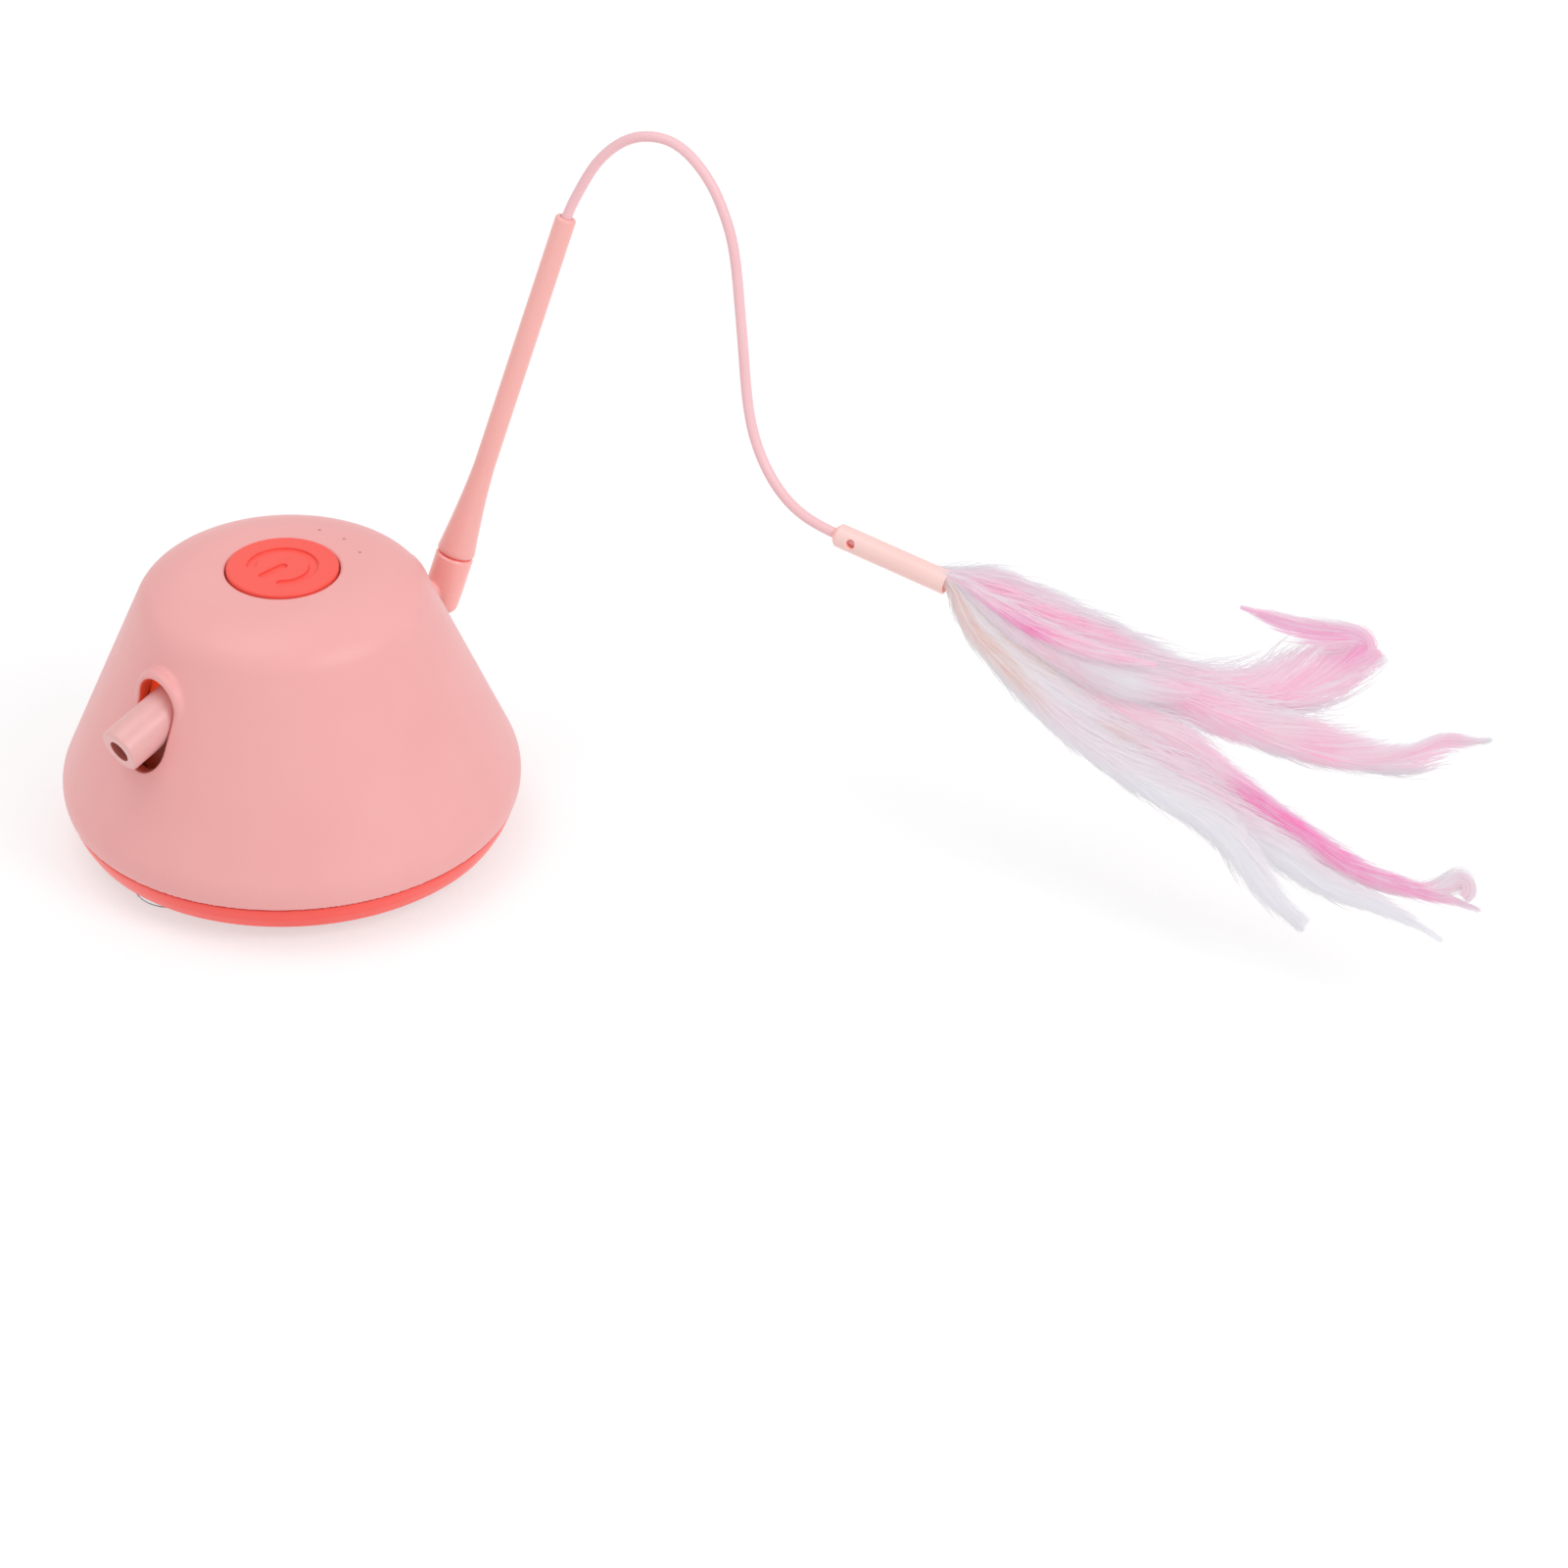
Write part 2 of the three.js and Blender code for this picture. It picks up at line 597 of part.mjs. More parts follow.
function bottomCover() {
  const dish = turned([
    [0, 0],
    [coverUndersideRadius, 0],
    [coverEdgeRadius, coverEdgeRise],
    [coverTopRadius, coverTop],
    [lipRadius, coverTop],
    [lipRadius, coverTop + lipHeight],
    [lipRadius - coverWall, coverTop + lipHeight],
    [lipRadius - coverWall, coverTop],
    [coverUndersideRadius - coverWall, coverFloor],
    [0, coverFloor],
  ], shellFacets);
  const caseBosses = caseAngles.map((angle) => {
    const [x, y] = aroundZ(caseBossCircle, angle);
    return rod(casePocketRadius + coverWall, coverFloor / 2, casePocketDepth + casePocketWall).translate(x, y, 0);
  });
  const plateBosses = plateCorners.map(([x, y]) => {
    return rod(plateBossRadius, coverFloor / 2, coverFloor + plateBossHeight).translate(x, y, 0);
  });
  const posts = chargePosts.map(([x, y]) => rod(chargePostRadius, coverFloor / 2, chargeBoardBase).translate(x, y, 0));
  const holes = [];
  for (const angle of caseAngles) {
    const [x, y] = aroundZ(caseBossCircle, angle);
    holes.push(rod(casePocketRadius, -cutRun, casePocketDepth, pinFacets).translate(x, y, 0));
    holes.push(rod(caseScrew.shank + touchGap, 0, shellHeight / 2, screwFacets).translate(x, y, 0));
  }
  for (const angle of cupAngles) {
    const [x, y] = aroundZ(cupCircle, angle);
    holes.push(rod(cupNeckRadius + touchGap, -cutRun, coverFloor + cutRun).translate(x, y, 0));
  }
  for (const [x, y] of plateCorners) {
    const top = coverFloor + plateBossHeight;
    holes.push(rod(midScrew.shank + turnGap, top - midScrew.length, top + cutRun, screwFacets).translate(x, y, 0));
  }
  for (const [x, y] of trayEars) {
    const low = trayBase + trayFloor - smallScrew.length;
    holes.push(rod(smallScrew.shank + turnGap, low, coverFloor + cutRun, screwFacets).translate(x, y, 0));
  }
  for (const [x, y] of chargePosts) {
    const low = chargeBoardBase - smallScrew.length;
    holes.push(rod(smallScrew.shank + turnGap, low, chargeBoardBase + cutRun, screwFacets).translate(x, y, 0));
  }
  return cut(join(dish, ...caseBosses, ...plateBosses, ...posts), ...holes);
}

// Suction cup with a headed stud, standing on the cup's own axis

function suctionCup() {
  const headBase = coverFloor + touchGap;
  return turned([
    [0, -cupDrop + cupHollowRise],
    [cupRadius * 0.35, -cupDrop + cupHollowRise],
    [cupRadius * 0.72, -cupDrop + cupHollowRise * 0.7],
    [cupRadius - cupSkirt, -cupDrop],
    [cupRadius, -cupDrop],
    [cupRadius * 0.8, -touchGap - cupShoulderDrop],
    [cupShoulderRadius, -touchGap],
    [cupNeckRadius, -touchGap],
    [cupNeckRadius, headBase],
    [cupHeadRadius, headBase],
    [cupHeadRadius * 0.7, headBase + cupHeadHeight],
    [0, headBase + cupHeadHeight],
  ], cupFacets);
}

// Screw with its head's underside at the origin and its shank along -Z

function screw({ shank, length, head, headHeight }) {
  return turned([
    [0, -length],
    [shank * 0.5, -length],
    [shank, -length + shank],
    [shank, 0],
    [head, 0],
    [head * 0.8, headHeight],
    [0, headHeight],
  ], screwFacets);
}

// Power button: a shallow cap with a hidden flange and a stem that presses the switch

function powerButton() {
  const top = shellHeight + buttonProud;
  const rim = buttonRadius;
  const cap = turned([
    [0, buttonFlangeBase],
    [rim + buttonFlange, buttonFlangeBase],
    [rim + buttonFlange, buttonFlangeTop],
    [rim, buttonFlangeTop],
    ...arc([rim - buttonEdge, top - buttonEdge], buttonEdge, 0, quarterTurn, 3),
    [0, top],
  ], buttonFacets);
  const hollow = rod(rim - buttonCapWall, buttonFlangeBase - cutRun, top - buttonCapWall, tubeFacets);
  const stem = rod(buttonStemRadius, plungerTop + touchGap, top - buttonCapWall / 2, pinFacets);
  return join(cut(cap, hollow), stem);
}

function switchBody() {
  const half = switchSize / 2;
  const body = block([-half, -half, boardTop + touchGap], [half, half, switchTop]);
  const well = rod(plungerRadius + turnGap, switchTop - plungerDepth - buttonTravel - touchGap, switchTop + cutRun);
  return cut(body, well);
}

function switchPlunger() {
  return rod(plungerRadius, switchTop - plungerDepth, plungerTop);
}

function circuitBoard() {
  const board = rod(boardRadius, boardBase, boardTop, buttonFacets);
  const holes = postAngles.map((angle) => {
    const [x, y] = aroundZ(postCircle, angle);
    return rod(smallScrew.shank + turnGap, boardBase - cutRun, boardTop + cutRun, screwFacets).translate(x, y, 0);
  });
  return cut(board, ...holes);
}

function lamp() {
  const base = boardTop + touchGap;
  const top = roofInside - touchGap * 2;
  return turned([
    [0, base],
    [lampRadius * 1.25, base],
    [lampRadius * 1.25, base + lampRadius * 0.6],
    [lampRadius, base + lampRadius * 0.6],
    ...arc([0, top - lampRadius], lampRadius, 0, quarterTurn, 3),
  ], 10);
}

// Gears

function gearOutline(teeth, module, phase, shown = teeth) {
  const pitchRadius = teeth * module / 2;
  const rootRadius = pitchRadius - module * dedendumShare;
  const tipRadius = pitchRadius + module * addendumShare;
  const pitch = Math.PI * 2 / teeth;
  const points = [];
  for (let i = 0; i < shown; i += 1) {
    const middle = phase + (i - Math.floor(shown / 2)) * pitch;
    const rootHalf = pitch * rootToothShare / 2;
    const tipHalf = pitch * tipToothShare / 2;
    points.push(polarRadians(rootRadius, middle - rootHalf));
    points.push(polarRadians(tipRadius, middle - tipHalf));
    points.push(polarRadians(tipRadius, middle + tipHalf));
    points.push(polarRadians(rootRadius, middle + rootHalf));
  }
  return points;
}

function polarRadians(radius, angle) {
  return [radius * Math.cos(angle), radius * Math.sin(angle)];
}

function gear(teeth, module, phase, [low, high]) {
  return alongY(outline(gearOutline(teeth, module, phase)), low, high);
}

// Phase that sets a gear's teeth in the gaps of its neighbour
function meshingPhase(direction, phase, teeth, ownTeeth) {
  return direction + Math.PI - (phase - direction) * teeth / ownTeeth + Math.PI / ownTeeth;
}

const sectorPhase = -quarterTurn;
const outputPinionPhase = meshingPhase(-quarterTurn, sectorPhase, sectorTeeth, pinionTeeth);
const outputWheelPhase = outputPinionPhase;
const middlePinionPhase = meshingPhase(radians(middleAngle), outputWheelPhase, outputTeeth, pinionTeeth);
const middleWheelPhase = middlePinionPhase;
const motorPinionPhase = meshingPhase(radians(motorAngle), middleWheelPhase, middleTeeth, pinionTeeth);

function boredGear(wheel, pinion, boreRadius, [low, high]) {
  const bore = rodAlongY([0, 0], boreRadius, low - cutRun, high + cutRun);
  return cut(join(wheel, pinion), bore);
}

function outputGear() {
  const wheel = gear(outputTeeth, coarseModule, outputWheelPhase, outputWheelSpan);
  const pinion = gear(pinionTeeth, coarseModule, outputPinionPhase, [outputWheelSpan[1] - cutRun, outputPinionSpan[1]]);
  const collar = rodAlongY([0, 0], gearPinRadius * 2, -cheekInner + touchGap, cheekInner - touchGap);
  const bored = boredGear(wheel, pinion, gearPinRadius / 2, [-cheekInner, cheekInner]);
  return cut(join(bored, collar), rodAlongY([0, 0], gearPinRadius + turnGap, -cheekOuter, cheekOuter));
}

function middleGear() {
  const wheel = gear(middleTeeth, fineModule, middleWheelPhase, middleWheelSpan);
  const pinion = gear(pinionTeeth, coarseModule, middlePinionPhase, [middleWheelSpan[1] - cutRun, middlePinionSpan[1]]);
  const collar = rodAlongY([0, 0], gearPinRadius * 2, -cheekInner + touchGap, cheekInner - touchGap);
  const bored = boredGear(wheel, pinion, gearPinRadius / 2, [-cheekInner, cheekInner]);
  return cut(join(bored, collar), rodAlongY([0, 0], gearPinRadius + turnGap, -cheekOuter, cheekOuter));
}

function motorPinion() {
  const pinion = gear(pinionTeeth, fineModule, motorPinionPhase, motorPinionSpan);
  const bore = rodAlongY([0, 0], motorShaftRadius + touchGap, motorPinionSpan[0] - cutRun, motorPinionSpan[1] + cutRun, screwFacets);
  return cut(pinion, bore);
}

// Rocker: a hub, two levers with flanges and spigots, and the sector gear

// A rod on the arm's axis, between two distances from the point where the arms meet
function onArm(geometry, side) {
  const lying = geometry.rotateY(quarterTurn).rotateY(droop).translate(0, 0, armMeetHeight);
  return side > 0 ? lying : lying.rotateZ(Math.PI);
}

function armPoint(distance) {
  return [distance * Math.cos(droop), armMeetHeight - distance * Math.sin(droop)];
}

function leverOutline() {
  const [tipX, tipZ] = armPoint(armInnerEnd - touchGap - flangeThickness / 2);
  const rootTop = hingeHeight + leverRootHeight / 2;
  const rootLow = hingeHeight - leverRootHeight / 2;
  return outline([
    [-tipX, tipZ - leverTipHeight / 2],
    [-hubRadius, rootLow],
    [hubRadius, rootLow],
    [tipX, tipZ - leverTipHeight / 2],
    [tipX, tipZ + leverTipHeight / 2],
    [hubRadius, rootTop],
    [-hubRadius, rootTop],
    [-tipX, tipZ + leverTipHeight / 2],
  ]);
}

function sectorOutline() {
  const half = radians(sectorWebHalfAngle);
  return outline([
    polarRadians(hubRadius * 0.5, sectorPhase + half),
    polarRadians(hubRadius * 0.5, sectorPhase - half),
    ...gearOutline(sectorTeeth, coarseModule, sectorPhase, sectorShown),
  ]);
}

// The geometry stands across X, and leans back with the shell's wall
function onWall(geometry, side) {
  const leaning = geometry.rotateY(-radians(shutterLeanAngle)).translate(shutterPlace, 0, shutterMiddle);
  return side > 0 ? leaning : leaning.rotateZ(Math.PI);
}

// A socket for the arm tube, with a plate that fills the view through the slot
function armSocket(side) {
  const flangeTop = armInnerEnd - touchGap;
  const run = shellWidestRadius;
  const reach = shutterHalfHeight - shutterHalfWidth;
  const plate = alongX(raised(obround(shutterHalfWidth, -reach, reach), -shutterThickness, 0));
  const beyond = block([-shutterThickness / 2, -run, -run], [run, run, run]);
  const sleeve = onArm(rod(armSocketRadius, flangeTop - flangeThickness, run, tubeFacets), side);
  const bore = onArm(rod(armTubeRadius + touchGap, flangeTop, run, tubeFacets), side);
  const spigot = onArm(rod(armBoreRadius - turnGap, flangeTop - flangeThickness / 2, armInnerEnd + spigotLength), side);
  return join(cut(join(cut(sleeve, onWall(beyond, side)), onWall(plate, side)), bore), spigot);
}

function rocker() {
  const hub = rodAlongY([0, hingeHeight], hubRadius, -hubLength / 2, hubLength / 2, tubeFacets);
  const levers = alongY(leverOutline(), -leverHalfWidth, leverHalfWidth);
  const sector = alongY(sectorOutline(), ...sectorSpan).translate(0, 0, hingeHeight);
  const bore = rodAlongY([0, hingeHeight], hingePinRadius + turnGap, -cheekInner, cheekInner);
  return cut(join(hub, levers, sector, armSocket(1), armSocket(-1)), bore);
}

function armTube(end, side) {
  const bore = rod(armBoreRadius, armInnerEnd - cutRun, end + cutRun, pinFacets);
  return onArm(cut(rod(armTubeRadius, armInnerEnd, end, tubeFacets), bore), side);
}

// Gearbox

function cheekOutline() {
  const [lowX, highX] = [plateLowX, plateHighX];
  const shoulder = motorCentre[1] + motorRadius + hubRadius;
  return outline([
    [lowX, plateTop],
    [highX, plateTop],
    [highX, outputCentre[1]],
    [hubRadius + coverWall, hingeHeight],
    ...arc([0, hingeHeight], hubRadius + coverWall, 0, Math.PI, cornerSteps + 1),
    [-hubRadius * 4, hingeHeight - hubRadius],
    [lowX, shoulder],
  ]);
}

function pinHoles(low, high) {
  return [
    rodAlongY([0, hingeHeight], hingePinRadius + touchGap, low, high),
    rodAlongY(outputCentre, gearPinRadius + touchGap, low, high),
    rodAlongY(middleCentre, gearPinRadius + touchGap, low, high),
  ];
}

function gearboxFrame() {
  const plate = block([plateLowX, -plateHalfWidth, plateBase], [plateHighX, plateHalfWidth, plateTop]);
  const cheek = alongY(cheekOutline(), -cheekOuter, -cheekInner).translate(0, 0, -plateThickness / 2);
  const pillars = pillarPlaces.map((place) => {
    return rodAlongY(place, pillarRadius, -cheekInner - cheekThickness / 2, cheekInner - touchGap);
  });
  const holes = plateCorners.map(([x, y]) => {
    return rod(midScrew.shank + touchGap, plateBase - cutRun, plateTop + cutRun, screwFacets).translate(x, y, 0);
  });
  const pillarHoles = pillarPlaces.map((place) => {
    return rodAlongY(place, smallScrew.shank + turnGap, cheekInner - smallScrew.length, cheekInner, screwFacets);
  });
  const nose = rodAlongY(motorCentre, motorNoseRadius + touchGap, -cheekOuter - cutRun, -cheekInner + cutRun);
  const motorHoles = [-1, 1].map((side) => {
    const place = [motorCentre[0], motorCentre[1] + side * motorScrewOffset];
    return rodAlongY(place, smallScrew.shank + turnGap, -cheekOuter - cutRun, -cheekInner + cutRun, screwFacets);
  });
  const pins = pinHoles(-cheekOuter - cutRun, -cheekInner + cutRun);
  return cut(join(plate, cheek, ...pillars), nose, ...pins, ...holes, ...pillarHoles, ...motorHoles);
}

function gearboxCover() {
  const cheek = alongY(cheekOutline(), cheekInner, cheekOuter).translate(0, 0, touchGap);
  const holes = pillarPlaces.map((place) => {
    return rodAlongY(place, smallScrew.shank + touchGap, cheekInner - cutRun, cheekOuter + cutRun, screwFacets);
  });
  return cut(cheek, ...pinHoles(cheekInner - cutRun, cheekOuter + cutRun), ...holes);
}

function pin(place, radius) {
  return rodAlongY(place, radius, -cheekOuter - pinProud, cheekOuter + pinProud);
}

// Motor

function motorCan() {
  const front = -cheekOuter - touchGap;
  const can = common(
    rodAlongY([0, 0], motorRadius, front - motorLength, front, tubeFacets),
    block([-motorRadius, front - motorLength, -motorFlat], [motorRadius, front, motorFlat]),
  );
  const nose = rodAlongY([0, 0], motorNoseRadius, front - cutRun, front + motorNoseLength);
  const bore = rodAlongY([0, 0], motorShaftRadius + turnGap, front - motorLength / 2, front + motorLength, screwFacets);
  const holes = [-1, 1].map((side) => {
    const place = [0, side * motorScrewOffset];
    return rodAlongY(place, smallScrew.shank + turnGap, front - smallScrew.length, front + cutRun, screwFacets);
  });
  return cut(join(can, nose), bore, ...holes);
}

function motorShaft() {
  return rodAlongY([0, 0], motorShaftRadius, -cheekOuter - motorLength / 3, motorPinionSpan[1] + touchGap, screwFacets);
}

// Battery

function batteryCell() {
  const half = cellLength / 2 - cellCorner;
  const low = trayBase + trayFloor + touchGap;
  const shape = outline([
    ...arc([cellWidth / 2 - cellCorner, low + cellHeight - cellCorner], cellCorner, 0, quarterTurn, 3),
    ...arc([-cellWidth / 2 + cellCorner, low + cellHeight - cellCorner], cellCorner, quarterTurn, Math.PI, 3),
    ...arc([-cellWidth / 2 + cellCorner, low + cellCorner], cellCorner, Math.PI, Math.PI * 1.5, 3),
    ...arc([cellWidth / 2 - cellCorner, low + cellCorner], cellCorner, Math.PI * 1.5, Math.PI * 2, 3),
  ]);
  return alongY(shape, -half - cellCorner, half + cellCorner).translate(cellPlace, 0, 0);
}

function batteryTray() {
  const [low, high] = [cellPlace - trayHalfWidth, cellPlace + trayHalfWidth];
  const wallTop = trayBase + trayFloor + trayWallHeight;
  const box = block([low, -trayHalfLength, trayBase], [high, trayHalfLength, wallTop]);
  const room = block(
    [low + trayWall, -trayHalfLength + trayWall, trayBase + trayFloor],
    [high - trayWall, trayHalfLength - trayWall, wallTop + cutRun],
  );
  const ears = trayEars.map(([x, y]) => {
    const inward = -Math.sign(y) * trayEarRadius;
    return join(
      rod(trayEarRadius, trayBase, trayBase + trayFloor).translate(x, y, 0),
      block(
        [x - trayEarRadius, Math.min(y, y + inward) - trayWall / 2, trayBase],
        [x + trayEarRadius, Math.max(y, y + inward) + trayWall / 2, trayBase + trayFloor],
      ),
    );
  });
  const holes = trayEars.map(([x, y]) => {
    return rod(smallScrew.shank + turnGap, trayBase - cutRun, trayBase + trayFloor + cutRun, screwFacets).translate(x, y, 0);
  });
  return cut(join(cut(box, room), ...ears), ...holes);
}

// Charging socket

function chargingBoard() {
  const half = chargeBoardWidth / 2;
  const low = chargeBoardBase + touchGap;
  const board = block([-half, chargePlaceY - chargeBoardLength, low], [half, chargePlaceY - socketSetback, chargeBoardTop]);
  const holes = chargePosts.map(([x, y]) => {
    return rod(smallScrew.shank + turnGap, low - cutRun, chargeBoardTop + cutRun, screwFacets).translate(x, y, 0);
  });
  return cut(board, ...holes);
}

function socketSection(inset) {
  const radius = socketHeight / 2 - inset;
  const reach = socketWidth / 2 - socketHeight / 2;
  return outline([
    ...arc([reach, socketMiddle], radius, -quarterTurn, quarterTurn, cornerSteps),
    ...arc([-reach, socketMiddle], radius, quarterTurn, quarterTurn * 3, cornerSteps),
  ]);
}

function chargingSocket() {
  const front = chargePlaceY;
  const back = front - socketLength;
  const shell = alongY(socketSection(0), back, front);
  const mouth = alongY(socketSection(socketWall), front - socketDepth, front + cutRun);
  const tongue = block(
    [-socketTongueWidth / 2, back + socketWall, socketMiddle - socketTongueHeight / 2],
    [socketTongueWidth / 2, front - socketWall * 2, socketMiddle + socketTongueHeight / 2],
  );
  return join(cut(shell, mouth), tongue);
}

// Elbow, with the arm's axis along X and the wand's axis along Z

function elbow() {
  const foot = turned([
    [0, -elbowFoot],
    [elbowRadius - elbowFootRound, -elbowFoot],
    ...arc([elbowRadius - elbowFootRound, elbowFootRound - elbowFoot], elbowFootRound, -quarterTurn, 0, 4).slice(1),
    [elbowRadius, elbowRise - elbowRimChamfer],
    [elbowRadius - elbowRimChamfer, elbowRise],
    [0, elbowRise],
  ], tubeFacets);
  const collar = rod(elbowRadius, -elbowReach + touchGap, 0, tubeFacets).rotateY(quarterTurn);
  const plugRadius = armBoreRadius - plugClearance;
  const plug = rod(plugRadius, -elbowReach - plugLength, 0, pinFacets).rotateY(quarterTurn);
  const socket = rod(wandSocketRadius, elbowRise - wandSocketDepth, elbowRise + cutRun, pinFacets);
  return cut(join(foot, collar, plug), socket);
}

// Wand tube, standing on the wand's axis above the elbow

const wandFoot = elbowRise + touchGap;
const wandTip = wandFoot + wandLength;

function wandTube() {
  const spigotBase = elbowRise - wandSocketDepth + touchGap;
  const spigotRadius = wandSocketRadius - wandSpigotClearance;
  const flare = [];
  const flareSteps = 5;
  for (let i = 0; i <= flareSteps; i += 1) {
    const share = i / flareSteps;
    const radius = wandTubeRadius + (wandFootRadius - wandTubeRadius) * Math.pow(1 - share, 1.5);
    flare.push([radius, wandFoot + elbowRimChamfer + wandFlareLength * share]);
  }
  const tube = turned([
    [0, spigotBase],
    [spigotRadius, spigotBase],
    [spigotRadius, wandFoot],
    [wandFootRadius - elbowRimChamfer, wandFoot],
    ...flare,
    [wandTubeRadius, wandTip - wandTipRound],
    [wandTubeRadius - wandTipRound, wandTip],
    [0, wandTip],
  ], tubeFacets);
  return cut(tube, rod(wireRadius + turnGap, wandTip - wireSocketDepth - touchGap, wandTip + cutRun, wireSides));
}

// Spring wire, in the plane of the wand's axis

function wirePath() {
  const points = [
    new THREE.Vector3(0, 0, wandTip - wireSocketDepth),
    new THREE.Vector3(0, 0, wandTip - wireSocketDepth / 2),
    ...wireRouteShares.map(([out, up]) => new THREE.Vector3(out * wireReach, 0, wandTip + up * wireReach)),
  ];
  const last = points[points.length - 1];
  const tilt = radians(sleeveTiltAngle);
  points.push(new THREE.Vector3(
    last.x + wireGripDepth * Math.cos(tilt),
    0,
    last.z + wireGripDepth * Math.sin(tilt),
  ));
  return new THREE.CatmullRomCurve3(points, false, "centripetal");
}

function springWire() {
  const section = outline(arc([0, 0], wireRadius, 0, Math.PI * 2, wireSides).slice(0, -1));
  return new THREE.ExtrudeGeometry(section, { steps: wireSteps, extrudePath: wirePath() });
}

// Feather sleeve, lying on X from the wire's end, with the feathers in its mouth

function featherSleeve() {
  const body = turned([
    [0, 0],
    [sleeveRadius - sleeveChamfer, 0],
    [sleeveRadius, sleeveChamfer],
    [sleeveRadius, sleeveLength],
    [0, sleeveLength],
  ], tubeFacets);
  const grip = rod(wireRadius + turnGap, -cutRun, wireGripDepth + touchGap * 2, wireSides);
  const mouth = rod(sleeveMouthRadius, sleeveLength - sleeveMouthDepth, sleeveLength + cutRun, pinFacets);
  const hole = rod(sleeveHoleRadius, 0, sleeveRadius + cutRun, screwFacets).rotateX(quarterTurn).translate(0, 0, sleeveHoleInset);
  return cut(body, grip, mouth, hole).rotateY(quarterTurn);
}

// One feather: a thin blade, widest along its middle, lofted along its own midline

function feather({ midline, width, side }, layer) {
  const middle = new THREE.CatmullRomCurve3(midline.map(([out, up]) => {
    return new THREE.Vector3(out * featherLength, 0, up * featherLength);
  }), false, "centripetal");
  const halfThickness = featherThickness / 2;
  const across = featherPitch * layer;
  const positions = [];
  const addRing = (x, z, sideX, sideZ, half, y) => {
    const ring = [[half, 0], [half * 0.3, halfThickness], [-half * 0.3, halfThickness],
      [-half, 0], [-half * 0.3, -halfThickness], [half * 0.3, -halfThickness]];
    for (const [wide, thick] of ring) positions.push(x + sideX * wide, y + thick, z + sideZ * wide);
  };
  addRing(-featherGrip, 0, 0, 1, featherRootHalfWidth, across);
  addRing(0, 0, 0, 1, featherRootHalfWidth, across);
  const spans = width.length - 1;
  for (let i = 1; i <= featherSteps; i += 1) {
    const share = i / featherSteps;
    const point = middle.getPoint(share);
    const heading = middle.getTangent(share);
    const span = Math.min(Math.floor(share * spans), spans - 1);
    const within = share * spans - span;
    const shareWidth = width[span] * (1 - within) + width[span + 1] * within;
    const y = across + side * featherLength * share * share;
    addRing(point.x, point.z, -heading.z, heading.x, shareWidth * featherLength, y);
  }
  return loft(positions, 6, featherSteps + 2);
}

// A closed skin over rings of equal count, with flat ends
function loft(positions, count, rings) {
  const index = [];
  for (let ring = 0; ring + 1 < rings; ring += 1) {
    for (let i = 0; i < count; i += 1) {
      const [a, b] = [ring * count + i, ring * count + (i + 1) % count];
      index.push(a, a + count, b, b, a + count, b + count);
    }
  }
  const end = (rings - 1) * count;
  for (let i = 1; i + 1 < count; i += 1) {
    index.push(0, i, i + 1);
    index.push(end, end + i + 1, end + i);
  }
  const geometry = new THREE.BufferGeometry();
  geometry.setAttribute("position", new THREE.Float32BufferAttribute(positions, 3));
  geometry.setIndex(index);
  return geometry;
}

// The whole toy

const toy = new THREE.Group();
const base = new THREE.Group();
toy.add(base);

add(base, "upper_shell", upperShell(), shellPink);
add(base, "bottom_cover", bottomCover(), coral);
add(base, "power_button", powerButton(), coral);
add(base, "switch_body", switchBody(), switchBlack);
add(base, "switch_plunger", switchPlunger(), switchBlack);
add(base, "circuit_board", circuitBoard(), boardGreen);
add(base, "gearbox_frame", gearboxFrame(), coral);
add(base, "gearbox_cover", gearboxCover(), coral);
add(base, "hinge_pin", pin([0, hingeHeight], hingePinRadius), steel);
add(base, "output_gear_pin", pin(outputCentre, gearPinRadius), steel);
add(base, "middle_gear_pin", pin(middleCentre, gearPinRadius), steel);
add(base, "rocker", rocker(), coral);
add(base, "bare_arm_tube", armTube(bareArmEnd, -1), armPink);
add(base, "wand_arm_tube", armTube(wandArmEnd, 1), armPink);
add(base, "output_gear", outputGear(), gearWhite).position.set(outputCentre[0], 0, outputCentre[1]);
add(base, "middle_gear", middleGear(), gearWhite).position.set(middleCentre[0], 0, middleCentre[1]);
add(base, "motor_pinion", motorPinion(), brass).position.set(motorCentre[0], 0, motorCentre[1]);
add(base, "motor_shaft", motorShaft(), steel).position.set(motorCentre[0], 0, motorCentre[1]);
add(base, "motor_can", motorCan(), steel).position.set(motorCentre[0], 0, motorCentre[1]);
add(base, "battery_tray", batteryTray(), frameWhite);
add(base, "battery_cell", batteryCell(), cellBlue);
add(base, "charging_board", chargingBoard(), boardGreen);
add(base, "charging_socket", chargingSocket(), steel);

cupAngles.forEach((angle, i) => {
  const [x, y] = aroundZ(cupCircle, angle);
  add(base, `suction_cup_${i + 1}`, suctionCup(), clearVinyl).position.set(x, y, 0);
});

lampAngles.forEach((angle, i) => {
  const [x, y] = aroundZ(lampCircle, angle);
  add(base, `status_lamp_${i + 1}`, lamp(), lampRed).position.set(x, y, 0);
});

caseAngles.forEach((angle, i) => {
  const [x, y] = aroundZ(caseBossCircle, angle);
  const mesh = add(base, `case_screw_${i + 1}`, screw(caseScrew), steel);
  mesh.position.set(x, y, casePocketDepth - touchGap);
  mesh.rotation.x = Math.PI;
});

postAngles.forEach((angle, i) => {
  const [x, y] = aroundZ(postCircle, angle);
  const mesh = add(base, `board_screw_${i + 1}`, screw(smallScrew), steel);
  mesh.position.set(x, y, boardBase - touchGap);
  mesh.rotation.x = Math.PI;
});

plateCorners.forEach(([x, y], i) => {
  add(base, `gearbox_screw_${i + 1}`, screw(midScrew), steel).position.set(x, y, plateTop + touchGap);
});

